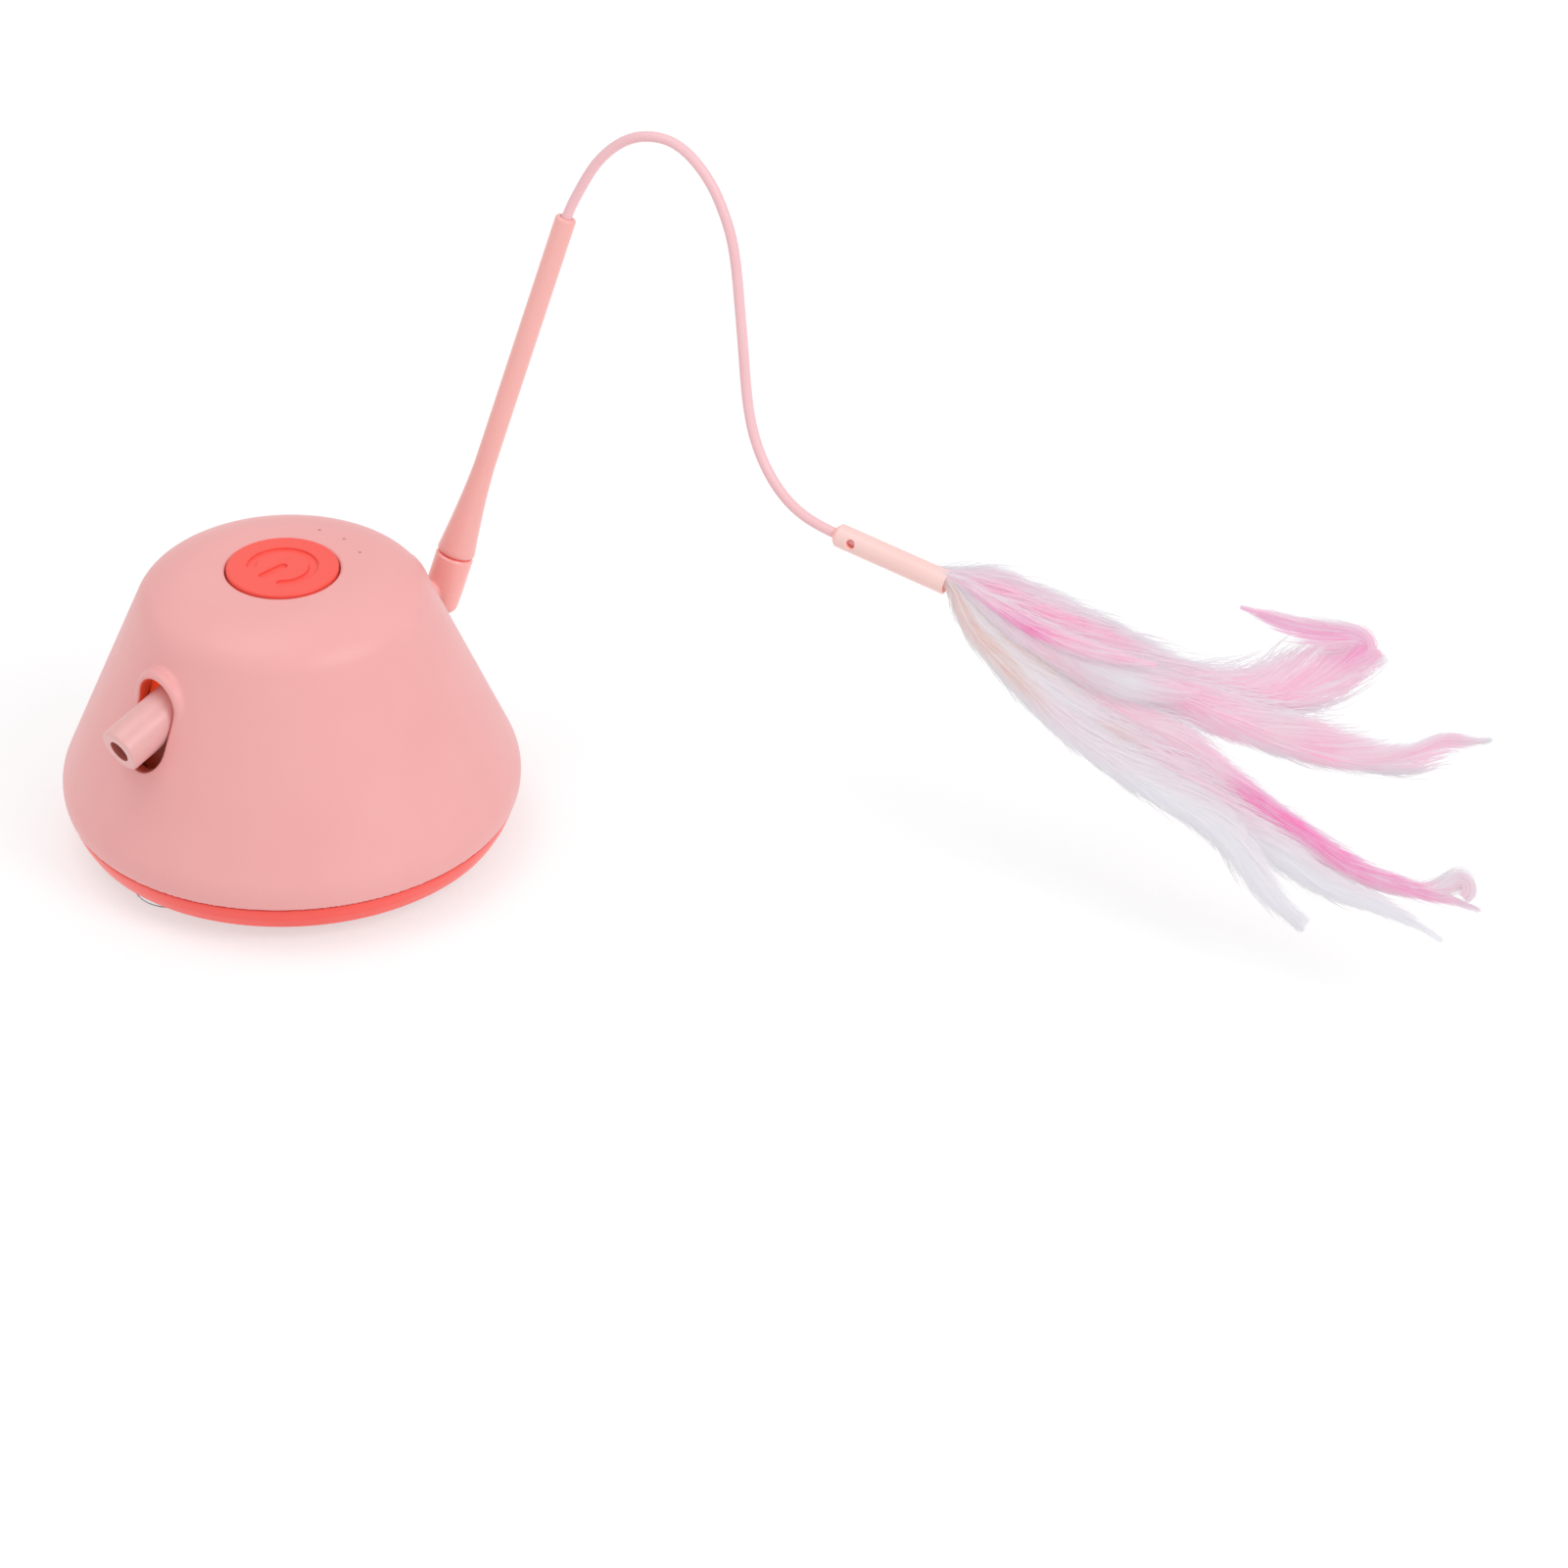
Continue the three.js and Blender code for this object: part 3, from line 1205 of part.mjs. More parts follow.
pillarPlaces.forEach(([x, z], i) => {
  const mesh = add(base, `cover_screw_${i + 1}`, screw(smallScrew), steel);
  mesh.position.set(x, cheekOuter + touchGap, z);
  mesh.rotation.x = -quarterTurn;
});

[-1, 1].forEach((side, i) => {
  const mesh = add(base, `motor_screw_${i + 1}`, screw(motorScrew), steel);
  mesh.position.set(motorCentre[0], -cheekInner + touchGap, motorCentre[1] + side * motorScrewOffset);
  mesh.rotation.x = -quarterTurn;
});

trayEars.forEach(([x, y], i) => {
  add(base, `tray_screw_${i + 1}`, screw(smallScrew), steel).position.set(x, y, trayBase + trayFloor + touchGap);
});

chargePosts.forEach(([x, y], i) => {
  add(base, `socket_screw_${i + 1}`, screw(smallScrew), steel).position.set(x, y, chargeBoardTop + touchGap);
});

// The elbow hangs on the wand's arm, and the wand stands in the elbow
const [elbowX, elbowZ] = armPoint(wandArmEnd + elbowReach);
const armEnd = new THREE.Group();
armEnd.position.set(elbowX, 0, elbowZ);
armEnd.rotation.y = droop;
toy.add(armEnd);

const leaning = new THREE.Group();
leaning.rotation.x = radians(elbowLeanAngle);
armEnd.add(leaning);
add(leaning, "elbow_connector", elbow(), wandPink);

const wand = new THREE.Group();
wand.rotation.z = radians(wandTurnDegrees);
leaning.add(wand);
add(wand, "wand_tube", wandTube(), wandPink);
add(wand, "spring_wire", springWire(), wirePink);

const lure = new THREE.Group();
const [wireEndOut, wireEndUp] = wireRouteShares[wireRouteShares.length - 1];
lure.position.set(wireEndOut * wireReach, 0, wandTip + wireEndUp * wireReach);
lure.rotation.y = -radians(sleeveTiltAngle);
wand.add(lure);
add(lure, "feather_sleeve", featherSleeve(), sleevePink);

const featherColours = {
  feather_top: featherPink,
  feather_middle: featherPink,
  feather_lower: featherHotPink,
  feather_white: featherPale,
  feather_down: featherPale,
};
Object.entries(featherShares).forEach(([name, shares], i, all) => {
  const layer = (all.length - 1) / 2 - i;
  add(lure, name, feather(shares, layer), featherColours[name]).position.set(sleeveLength + touchGap, 0, 0);
});

export default toy;
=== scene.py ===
import math

import bpy
import numpy as np
import openvdb
from mathutils import Matrix


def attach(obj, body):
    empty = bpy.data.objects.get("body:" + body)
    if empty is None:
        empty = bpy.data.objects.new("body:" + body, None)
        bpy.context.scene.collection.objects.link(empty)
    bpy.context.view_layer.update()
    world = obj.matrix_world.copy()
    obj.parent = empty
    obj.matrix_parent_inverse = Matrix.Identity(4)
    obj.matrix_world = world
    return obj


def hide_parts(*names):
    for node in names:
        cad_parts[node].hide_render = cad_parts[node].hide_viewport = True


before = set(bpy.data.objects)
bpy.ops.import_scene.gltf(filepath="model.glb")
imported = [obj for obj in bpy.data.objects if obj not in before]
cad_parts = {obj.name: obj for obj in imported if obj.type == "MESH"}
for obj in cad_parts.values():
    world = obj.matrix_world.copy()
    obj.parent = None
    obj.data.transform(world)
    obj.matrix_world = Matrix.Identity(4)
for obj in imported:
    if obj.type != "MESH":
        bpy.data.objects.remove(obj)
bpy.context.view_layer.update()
scene = bpy.context.scene
scene.view_settings.view_transform = "Standard"

# --- Camera ---
# A long lens, about 33 degrees above the floor, looking along the line between the two arms.
# Its place and lens were fitted to the outline of the base.
camera_data = bpy.data.cameras.new("camera")
camera_data.lens = 149.53
camera_data.sensor_width = 36
camera = bpy.data.objects.new("camera", camera_data)
camera.location = (-0.8444, -1.0295, 0.8711)
camera.rotation_euler = [math.radians(angle) for angle in (56.92, 0, -44.5)]
scene.collection.objects.link(camera)
scene.camera = camera

# --- Studio ---
# A pale floor that the suction cups stand on, a white room, and two soft lamps.
# To the camera the floor is half its own paper, which takes the shadow, and half plain white.
FLOOR_HEIGHT = -0.0045
FLOOR_HALF = 4
LAMP_AIM = (0.03, -0.03, 0.05)


def new_material(name):
    material = bpy.data.materials.new(name)
    material.use_nodes = True
    tree = material.node_tree
    tree.nodes.clear()
    return material, tree


def node(tree, kind, inputs=(), **settings):
    """A shader node. Each input takes a plain value, a socket, or a node, for its first output."""
    made = tree.nodes.new(kind)
    for key, value in settings.items():
        setattr(made, key, value)
    for key, value in dict(inputs).items():
        if isinstance(value, bpy.types.Node):
            value = value.outputs[0]
        if isinstance(value, bpy.types.NodeSocket):
            tree.links.new(value, made.inputs[key])
        else:
            made.inputs[key].default_value = value
    return made


def maths(tree, operation, *values):
    return node(tree, "ShaderNodeMath", dict(enumerate(values)), operation=operation)


def spread(tree, value, low, high, start=0.0, end=1.0, **settings):
    """Maps the span from start to end onto the span from low to high."""
    return node(tree, "ShaderNodeMapRange", {"Value": value, "From Min": start, "From Max": end,
                                             "To Min": low, "To Max": high}, **settings)


floor_mesh = bpy.data.meshes.new("floor")
floor_corners = [(x * FLOOR_HALF, y * FLOOR_HALF, FLOOR_HEIGHT) for x, y in ((-1, -1), (1, -1), (1, 1), (-1, 1))]
floor_mesh.from_pydata(floor_corners, [], [(0, 1, 2, 3)])
floor = bpy.data.objects.new("floor", floor_mesh)
scene.collection.objects.link(floor)

floor_paint, tree = new_material("floor_paint")
paper = node(tree, "ShaderNodeBsdfDiffuse", {"Color": (0.93, 0.93, 0.93, 1)})
white = node(tree, "ShaderNodeEmission", {"Color": (1, 1, 1, 1), "Strength": 1.14})
path = node(tree, "ShaderNodeLightPath")
seen = maths(tree, "MULTIPLY", path.outputs["Is Camera Ray"], 0.5)
mirrored = maths(tree, "MAXIMUM", path.outputs["Is Glossy Ray"], path.outputs["Is Transmission Ray"])
blend = node(tree, "ShaderNodeMixShader", {0: maths(tree, "MAXIMUM", seen, mirrored), 1: paper, 2: white})
node(tree, "ShaderNodeOutputMaterial", {"Surface": blend})
floor_mesh.materials.append(floor_paint)

world = bpy.data.worlds.new("studio")
scene.world = world
world.use_nodes = True
tree = world.node_tree
tree.nodes.clear()
path = node(tree, "ShaderNodeLightPath")
direct = maths(tree, "MAXIMUM", path.outputs["Is Camera Ray"], path.outputs["Is Transmission Ray"])
level = spread(tree, direct, 0.72, 1.0)
air = node(tree, "ShaderNodeBackground", {"Color": (1, 1, 1, 1), "Strength": level})
node(tree, "ShaderNodeOutputWorld", {"Surface": air})


def soft_lamp(name, place, size, power):
    lamp = bpy.data.lights.new(name, "AREA")
    lamp.shape = "DISK"
    lamp.size = size
    lamp.energy = power
    holder = bpy.data.objects.new(name, lamp)
    holder.location = place
    direction = np.array(LAMP_AIM) - np.array(place)
    tilt = math.atan2(math.hypot(direction[0], direction[1]), -direction[2])
    holder.rotation_euler = (tilt, 0, math.atan2(direction[1], direction[0]) - math.pi / 2)
    scene.collection.objects.link(holder)


soft_lamp("key_lamp", (0.2, -1.4, 1.25), 0.9, 8.5)
soft_lamp("top_lamp", (-0.3, 0.3, 1.6), 1.0, 4.5)

# --- Upper shell ---
# The pink cone: one moulding in satin ABS, with a rounded foot and shoulder and two hooded slots.
# Three screw bosses and three board posts stand inside it, and its rim meets the bottom cover.
# Shapes are in millimetres and degrees, here and below. Places in matrices and materials are in metres.
SHELL_TOP = 68.5
SHELL_WALL = 2.2
SHELL_RIM = 7.2
WALL_SLOPE = 23.1
FOOT_CENTRE, FOOT_ROUND = (45.1, 10.9), 10.4
SHOULDER_HEIGHT, SHOULDER_ROUND, SHOULDER_END = 56.416, 9.6, 57
CROWN_HEIGHT, CROWN_ROUND = 43.5, 25
SLOT_HALF = 6.0
SLOT_LOW, SLOT_HIGH = 38.61, 48.31
SLOT_START = 20
HOOD_HALF, HOOD_EDGE = 8.1, 1.3
HOOD_START, HOOD_FACE = 30.2, 40.3
LIP_MIDDLE, LIP_HALF, LIP_DEPTH = 0.7, 0.8, 0.5
HOOD_FILLET, WALL_FILLET, HOLE_EDGE, PORT_EDGE = 1.0, 0.4, 0.7, 0.5
# Rods and the holes in them are (radius, low end, high end)
POST_CIRCLE, POST_ANGLES = 18.5, (60, 180, 300)
POST_ROD, POST_HOLE = (2.3, 60.1, SHELL_TOP - 1), (0.8, 50, 62.8)
CASE_CIRCLE, CASE_ANGLES = 44, (30, 150, 270)
BOSS_ROD, BOSS_HOLE, BOSS_SINK = (3.6, 5.3, 36), (1.4, 0, 17), 1
RIM_FLOOR, RIM_STEP = 5.3, 0.6
ROOF_HOLE, ROOF_LOW = 13.77, 60
PORT_HEIGHT, PORT_HALF, PORT_ROUND, PORT_START = 14, 2.85, 2.05, 40
LAMP_CIRCLE, LAMP_HEIGHT, LAMP_ANGLES = 19.5, 68.3, (-22, 0, 22)
BLACK = (0, 0, 0, 1)


def arc_points(centre, radius, start, end, steps):
    angles = np.radians(np.linspace(start, end, steps))
    return [(centre[0] + radius * math.cos(a), centre[1] + radius * math.sin(a)) for a in angles]


def turned_distance(outline, step=0.25):
    """The distance to a solid turned about Z, negative inside, from its closed outline of (radius, height)."""
    margin = 6
    corners = np.array(outline, float)
    low = np.array([-1.0, corners[:, 1].min() - margin])
    counts = ((corners.max(0) + margin - low) / step).astype(int) + 1
    u, v = np.meshgrid(*(start + step * np.arange(count) for start, count in zip(low, counts)), indexing="ij")
    u = np.abs(u)
    nearest, inside = np.full(u.shape, np.inf), np.zeros(u.shape, bool)
    for (r0, z0), (r1, z1) in zip(corners, np.roll(corners, -1, 0)):
        if z0 != z1:
            inside ^= ((z0 > v) != (z1 > v)) & (u < r0 + (v - z0) / (z1 - z0) * (r1 - r0))
        span = (r1 - r0) ** 2 + (z1 - z0) ** 2
        if r0 == r1 == 0 or span < 1e-12:
            continue
        along = np.clip(((u - r0) * (r1 - r0) + (v - z0) * (z1 - z0)) / span, 0, 1)
        nearest = np.minimum(nearest, np.hypot(u - r0 - along * (r1 - r0), v - z0 - along * (z1 - z0)))
    table = np.where(inside, -nearest, nearest)

    def distance(x, y, z):
        s = np.clip((np.hypot(x, y) - low[0]) / step, 0, counts[0] - 1.001)
        t = np.clip((z - low[1]) / step, 0, counts[1] - 1.001)
        i, j = s.astype(int), t.astype(int)
        s, t = s - i, t - j
        return ((table[i, j] * (1 - s) + table[i + 1, j] * s) * (1 - t)
                + (table[i, j + 1] * (1 - s) + table[i + 1, j + 1] * s) * t)

    return distance


def joined(a, b, soft):
    """Two distances made one, with a fillet of that size."""
    share = np.clip(0.5 + 0.5 * (b - a) / soft, 0, 1)
    return b * (1 - share) + a * share - soft * share * (1 - share)


def cut(a, b, soft):
    """The second solid taken out of the first, with its edge rounded by that size."""
    return -joined(-a, b, soft)


def rod_distance(x, y, z, centre, radius, low, high):
    across = np.hypot(x - centre[0], y - centre[1]) - radius
    return np.maximum(across, np.maximum(low - z, z - high))


def bored_rod(x, y, z, centre, rod, hole):
    return cut(rod_distance(x, y, z, centre, *rod), rod_distance(x, y, z, centre, *hole), 0.2)


def on_circle(radius, degrees):
    return radius * math.cos(math.radians(degrees)), radius * math.sin(math.radians(degrees))


def unit(rows):
    return rows / np.maximum(np.linalg.norm(rows, axis=-1, keepdims=True), 1e-6)


def new_mesh(name, points, faces):
    """A smooth mesh in metres, from points in millimetres."""
    mesh = bpy.data.meshes.new(name)
    mesh.from_pydata((np.asarray(points) * 0.001).tolist(), [], [tuple(int(i) for i in f) for f in faces])
    mesh.polygons.foreach_set("use_smooth", [True] * len(mesh.polygons))
    mesh.update()
    return mesh


def moulded(name, distance, low, high, step):
    """The skin of a solid given by its distance, with its normals taken from the distance."""
    reach = 0.08
    axes = [a + step * np.arange(math.ceil((b - a) / step) + 1) for a, b in zip(low, high)]
    grid = openvdb.FloatGrid()
    grid.copyFromArray(distance(*np.meshgrid(*axes, indexing="ij")).astype(np.float32))
    points, quads = grid.convertToQuads(isovalue=0.0)
    points = np.array(low) + np.array(points, float) * step

    def slope(p):
        shifts = np.eye(3) * reach
        found = [distance(*(p + shift).T) - distance(*(p - shift).T) for shift in shifts]
        return unit(np.stack(found, -1) / (2 * reach))

    for _ in range(2):
        move = np.clip(distance(*points.T), -step, step)
        points = points - slope(points) * move[:, None]
    mesh = new_mesh(name, points, quads)
    mesh.normals_split_custom_set_from_vertices(slope(points).tolist())
    return mesh


def dressed(name, mesh, material, body, replaced, place=None):
    """Puts a finished mesh in the scene as one piece, on its body."""
    piece = bpy.data.objects.new(name, mesh)
    if place is not None:
        mesh.transform(place)
    mesh.materials.append(material)
    scene.collection.objects.link(piece)
    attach(piece, body)
    if replaced:
        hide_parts(*replaced)


def rgb(red, green, blue):
    def linear(value):
        share = value / 255
        return share / 12.92 if share <= 0.04045 else ((share + 0.055) / 1.055) ** 2.4
    return linear(red), linear(green), linear(blue), 1.0


def vectors(tree, operation, *values):
    return node(tree, "ShaderNodeVectorMath", dict(enumerate(values)), operation=operation)


def mixed(tree, share, first, second):
    return node(tree, "ShaderNodeMixRGB", {"Fac": share, "Color1": first, "Color2": second})


def fading(tree, value, full, none, most=1.0):
    """A mask that holds its most up to one value, and softly ends at the other."""
    return spread(tree, value, most, 0.0, full, none, interpolation_type="SMOOTHSTEP")


def noise(tree, where, scale, detail, rough=0.5):
    inputs = {"Vector": where, "Scale": scale, "Detail": detail, "Roughness": rough}
    return node(tree, "ShaderNodeTexNoise", inputs).outputs["Fac"]


def bump(tree, height, strength, distance):
    return node(tree, "ShaderNodeBump", {"Strength": strength, "Distance": distance, "Height": height})


def object_place(tree):
    return node(tree, "ShaderNodeTexCoord").outputs["Object"]


def skin_group(name, inputs):
    """An empty group for the colour, shine and normal of a skin, with its given values and its place."""
    group = bpy.data.node_groups.new(name, "ShaderNodeTree")
    kinds = {"Colour": "NodeSocketColor", "Deep colour": "NodeSocketColor", "Normal": "NodeSocketVector"}
    for way, names in (("INPUT", inputs), ("OUTPUT", ("Colour", "Roughness", "Normal"))):
        for socket in names:
            group.interface.new_socket(name=socket, in_out=way, socket_type=kinds.get(socket, "NodeSocketFloat"))
    return group, node(group, "NodeGroupInput").outputs, object_place(group)


def moulding_skin():
    """Satin moulded plastic: clouds in its colour, small changes of shine and a fine grain."""
    group, given, where = skin_group("moulding_skin", ("Colour", "Deep colour", "Shine", "Grain depth"))
    cloud = noise(group, where, 38, 3, 0.55)
    fleck = noise(group, where, 1300, 2)
    grain = noise(group, where, 2600, 3, 0.6)
    clouded, flecked = spread(group, cloud, 0.0, 0.45, 0.35, 0.7), spread(group, fleck, 0.0, 0.16, 0.3, 0.7)
    node(group, "NodeGroupOutput", {
        "Colour": mixed(group, maths(group, "ADD", clouded, flecked), given["Colour"], given["Deep colour"]),
        "Roughness": maths(group, "ADD", given["Shine"], spread(group, cloud, -0.05, 0.05)),
        "Normal": bump(group, grain, given["Grain depth"], 0.00006)})
    return group


MOULDING_SKIN = moulding_skin()


def moulding(tree, colour, deep, shine, grain):
    inputs = {"Colour": rgb(*colour), "Deep colour": rgb(*deep), "Shine": shine, "Grain depth": grain}
    return node(tree, "ShaderNodeGroup", inputs, node_tree=MOULDING_SKIN)


def surfaced(tree, inputs, skin=None):
    """Ends a material with its Principled surface, which takes what it isn't given from the skin."""
    if skin is not None:
        inputs = {"Base Color": skin.outputs["Colour"], "Roughness": skin.outputs["Roughness"],
                  "Normal": skin.outputs["Normal"], **inputs}
    surface = node(tree, "ShaderNodeBsdfPrincipled", inputs)
    node(tree, "ShaderNodeOutputMaterial", {"Surface": surface})


def moulded_plastic(name, colour, deep, shine, grain, coat=0.0):
    material, tree = new_material(name)
    skin = moulding(tree, colour, deep, shine, grain)
    surfaced(tree, {"Coat Weight": coat, "Coat Roughness": 0.3, "IOR": 1.46}, skin)
    return material


wall_foot = arc_points(FOOT_CENTRE, FOOT_ROUND, WALL_SLOPE, WALL_SLOPE, 1)[0]
lean = math.radians(WALL_SLOPE)
climb = SHOULDER_HEIGHT + SHOULDER_ROUND * math.sin(lean) - wall_foot[1]
shoulder_radius = wall_foot[0] - climb * math.tan(lean) - SHOULDER_ROUND * math.cos(lean)
crown_radius = shoulder_radius - on_circle(CROWN_ROUND - SHOULDER_ROUND, SHOULDER_END)[0]
cone_distance = turned_distance(
    [(0, 0.5)] + arc_points(FOOT_CENTRE, FOOT_ROUND, -90, WALL_SLOPE, 28)
    + arc_points((shoulder_radius, SHOULDER_HEIGHT), SHOULDER_ROUND, WALL_SLOPE, SHOULDER_END, 14)
    + arc_points((crown_radius, CROWN_HEIGHT), CROWN_ROUND, SHOULDER_END, 90, 20) + [(0, SHELL_TOP)])


def shell_distance(x, y, z):
    cone = cone_distance(x, y, z)
    inner = cone + SHELL_WALL
    slot = np.hypot(y, z - np.clip(z, SLOT_LOW, SLOT_HIGH))
    middle = SLOT_START - np.abs(x)
    across = slot - HOOD_HALF + HOOD_EDGE
    out = np.maximum(np.abs(x) - HOOD_FACE, HOOD_START - np.abs(x)) + HOOD_EDGE
    hood = np.hypot(np.maximum(across, 0), np.maximum(out, 0)) + np.minimum(np.maximum(across, out), 0) - HOOD_EDGE
    skin = cut(joined(cone, hood, HOOD_FILLET), inner, WALL_FILLET)
    lip = np.maximum(np.abs(slot - SLOT_HALF - LIP_MIDDLE) - LIP_HALF, np.abs(inner) - LIP_DEPTH)
    skin = joined(skin, np.maximum(lip, middle), 0.1)
    for angle in POST_ANGLES:
        post = bored_rod(x, y, z, on_circle(POST_CIRCLE, angle), POST_ROD, POST_HOLE)
        skin = joined(skin, post, WALL_FILLET)
    for angle in CASE_ANGLES:
        boss = bored_rod(x, y, z, on_circle(CASE_CIRCLE, angle), BOSS_ROD, BOSS_HOLE)
        skin = joined(skin, np.maximum(boss, cone + BOSS_SINK), WALL_FILLET)
    skin = cut(skin, np.maximum(slot - SLOT_HALF, middle), HOLE_EDGE)
    skin = cut(skin, np.maximum(np.hypot(x, y) - ROOF_HOLE, ROOF_LOW - z), HOLE_EDGE)
    port = np.hypot(x - np.clip(x, -PORT_HALF, PORT_HALF), z - PORT_HEIGHT) - PORT_ROUND
    skin = cut(skin, np.maximum(port, PORT_START - y), PORT_EDGE)
    return np.maximum(skin, np.where(inner > -RIM_STEP, SHELL_RIM - z, RIM_FLOOR - z))


shell_pink, tree = new_material("shell_pink_satin")
skin = moulding(tree, (241, 173, 171), (237, 166, 164), 0.44, 0.1)
where = object_place(tree)
# The lamp pinholes are painted as dark dots in the roof, painted shade in place of holes, each with a soft rim
places = [(*on_circle(LAMP_CIRCLE * 0.001, angle), LAMP_HEIGHT * 0.001) for angle in LAMP_ANGLES]
dots = [vectors(tree, "DISTANCE", where, place).outputs["Value"] for place in places]
nearest = maths(tree, "MINIMUM", maths(tree, "MINIMUM", dots[0], dots[1]), dots[2])
pinhole_shade = fading(tree, nearest, 0.00028, 0.0006, 0.75)
shade = mixed(tree, pinhole_shade, skin.outputs["Colour"], rgb(176, 104, 104))
# The slots' walls are painted coral, darker low down as painted shade, with a faint painted glow on them
parts = node(tree, "ShaderNodeSeparateXYZ", {0: where})
height = parts.outputs["Z"]
level = node(tree, "ShaderNodeClamp", {0: height, 1: SLOT_LOW * 0.001, 2: SLOT_HIGH * 0.001})
flat = node(tree, "ShaderNodeCombineXYZ", {0: parts.outputs["Y"], 1: maths(tree, "SUBTRACT", height, level)})
wall = fading(tree, vectors(tree, "LENGTH", flat).outputs["Value"], 0.00608, 0.0065)
painted_slot_lining = mixed(tree, fading(tree, height, 0.036, 0.047, 0.75), rgb(226, 84, 52), rgb(128, 44, 32))
surfaced(tree, {
    "Base Color": mixed(tree, wall, shade, painted_slot_lining), "IOR": 1.46, "Coat Weight": 0.05, "Coat Roughness": 0.35,
    "Sheen Weight": 0.2, "Sheen Roughness": 0.25, "Sheen Tint": rgb(196, 190, 212),
    "Emission Color": mixed(tree, wall, BLACK, painted_slot_lining), "Emission Strength": 0.1}, skin)

shell_mesh = moulded("shell", shell_distance, (-57, -57, 4), (57, 57, 70), 0.6)
dressed("shell", shell_mesh, shell_pink, "base", ["upper_shell"])

# --- Bottom cover ---
# A coral dish in the same plastic, pushed into the shell's rim and held by three screws from below.
# Its lip, bosses and posts carry the gearbox, the tray and the charging board.
GEARBOX_POSTS = ((-32.4, -16.1), (-32.4, 16.1), (13.9, -16.1), (13.9, 16.1))
GEARBOX_ROD = (3.0, 1.2, 6.0)
CASE_ROD, CASE_SINK, CASE_HOLE = (4.6, 1.2, 5.0), (3.0, -2, 3.0), (1.5, -2, 8)
CUP_CIRCLE, CUP_ANGLES = 38, (180, 300, 60)
STUD_HOLE = (2.3, -2, 4)
dish_distance = turned_distance(
    [(0, 0), (50.8, 0), (51.2, 0.1), (51.7, 0.6), (53.2, 3.2), (54.2, 5.6), (54.5, 6.75), (54.35, 6.9),
     (52, 6.9), (52, 10.1), (50.4, 10.1), (50.4, 6.9), (48.6, 2.4), (0, 2.4)], 0.15)


def cover_distance(x, y, z):
    dish = dish_distance(x, y, z)
    case_centres = [on_circle(CASE_CIRCLE, angle) for angle in CASE_ANGLES]
    cup_centres = [on_circle(CUP_CIRCLE, angle) for angle in CUP_ANGLES]
    for change, centres, rod, soft in (
            (joined, case_centres, CASE_ROD, 0.3), (joined, GEARBOX_POSTS, GEARBOX_ROD, 0.3),
            (cut, case_centres, CASE_SINK, 0.3), (cut, case_centres, CASE_HOLE, 0.2),
            (cut, cup_centres, STUD_HOLE, 0.3)):
        for centre in centres:
            dish = change(dish, rod_distance(x, y, z, centre, *rod), soft)
    return dish


coral = moulded_plastic("coral_satin", (255, 88, 78), (250, 80, 70), 0.4, 0.1, 0.05)
cover_mesh = moulded("cover", cover_distance, (-55.5, -55.5, -1), (55.5, 55.5, 11.5), 0.5)
dressed("cover", cover_mesh, coral, "base", ["bottom_cover"])

# --- Suction cups ---
# Three clear soft vinyl cups, each with a headed stud that snaps through the cover.
# The skirt is thin at its edge, and the middle is hollow.


def rounded(corners):
    """A profile of (radius, height, round), with each corner's round drawn in."""
    drawn = []
    for i, (r, z, size) in enumerate(corners):
        if not size:
            drawn.append((r, z))
            continue
        here, before, after = (np.array(corners[k][:2], float) for k in (i, i - 1, i + 1))
        sides = np.linalg.norm(before - here), np.linalg.norm(after - here)
        size = min(size, 0.48 * sides[0], 0.48 * sides[1])
        a, b = (before - here) / sides[0], (after - here) / sides[1]
        drawn += [tuple(here + a * size * (1 - t) ** 2 + b * size * t ** 2) for t in np.linspace(0, 1, 6)]
    return drawn


def turned(name, profile, sides):
    """A profile of (radius, height) turned about Z, with edges of more than 38 degrees kept sharp."""
    points, rows = [], []
    for r, z in profile:
        count = sides if r else 1
        rows.append([len(points) + k % count for k in range(sides)])
        points += [(*on_circle(r, 360 * k / sides), z) for k in range(count)]
    faces = []
    for low, high in zip(rows, rows[1:]):
        for k in range(sides):
            corners = [low[k], low[(k + 1) % sides], high[(k + 1) % sides], high[k]]
            kept = [c for i, c in enumerate(corners) if c != corners[i - 1]]
            if len(kept) > 2:
                faces.append(kept)
    mesh = new_mesh(name, points, faces)
    mesh.set_sharp_from_angle(angle=math.radians(38))
    return mesh


clear_vinyl, tree = new_material("clear_vinyl")
haze = noise(tree, object_place(tree), 260, 3)
surfaced(tree, {
    "Base Color": mixed(tree, haze, (0.66, 0.66, 0.68, 1), (0.86, 0.84, 0.85, 1)),
    "Roughness": spread(tree, haze, 0.04, 0.16), "Normal": bump(tree, haze, 0.15, 0.0002),
    "Transmission Weight": 0.92, "IOR": 1.5})

cup_profile = rounded([
    (0, -2.1, 0), (3.5, -2.1, 1.2), (7.2, -2.82, 1.2), (9.35, -4.45, 0.15), (9.95, -4.45, 0.2), (8.0, -1.6, 1.5),
    (5.0, -0.35, 0.5), (2.0, -0.3, 0.15), (2.0, 2.7, 0.15), (3.2, 2.7, 0.3), (2.24, 5.0, 0.6), (0, 5.1, 0)])
for i, angle in enumerate(CUP_ANGLES):
    place = Matrix.Translation((*on_circle(CUP_CIRCLE * 0.001, angle), 0))
    cup_mesh = turned(f"cup_{i + 1}", cup_profile, 48)
    dressed(f"cup_{i + 1}", cup_mesh, clear_vinyl, "base", [f"suction_cup_{i + 1}"], place)

# --- Screws, pins and motor shaft ---
# Zinc-plated steel, rolled and drawn, with a slightly patchy shine.
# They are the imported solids, and only get their finish here.


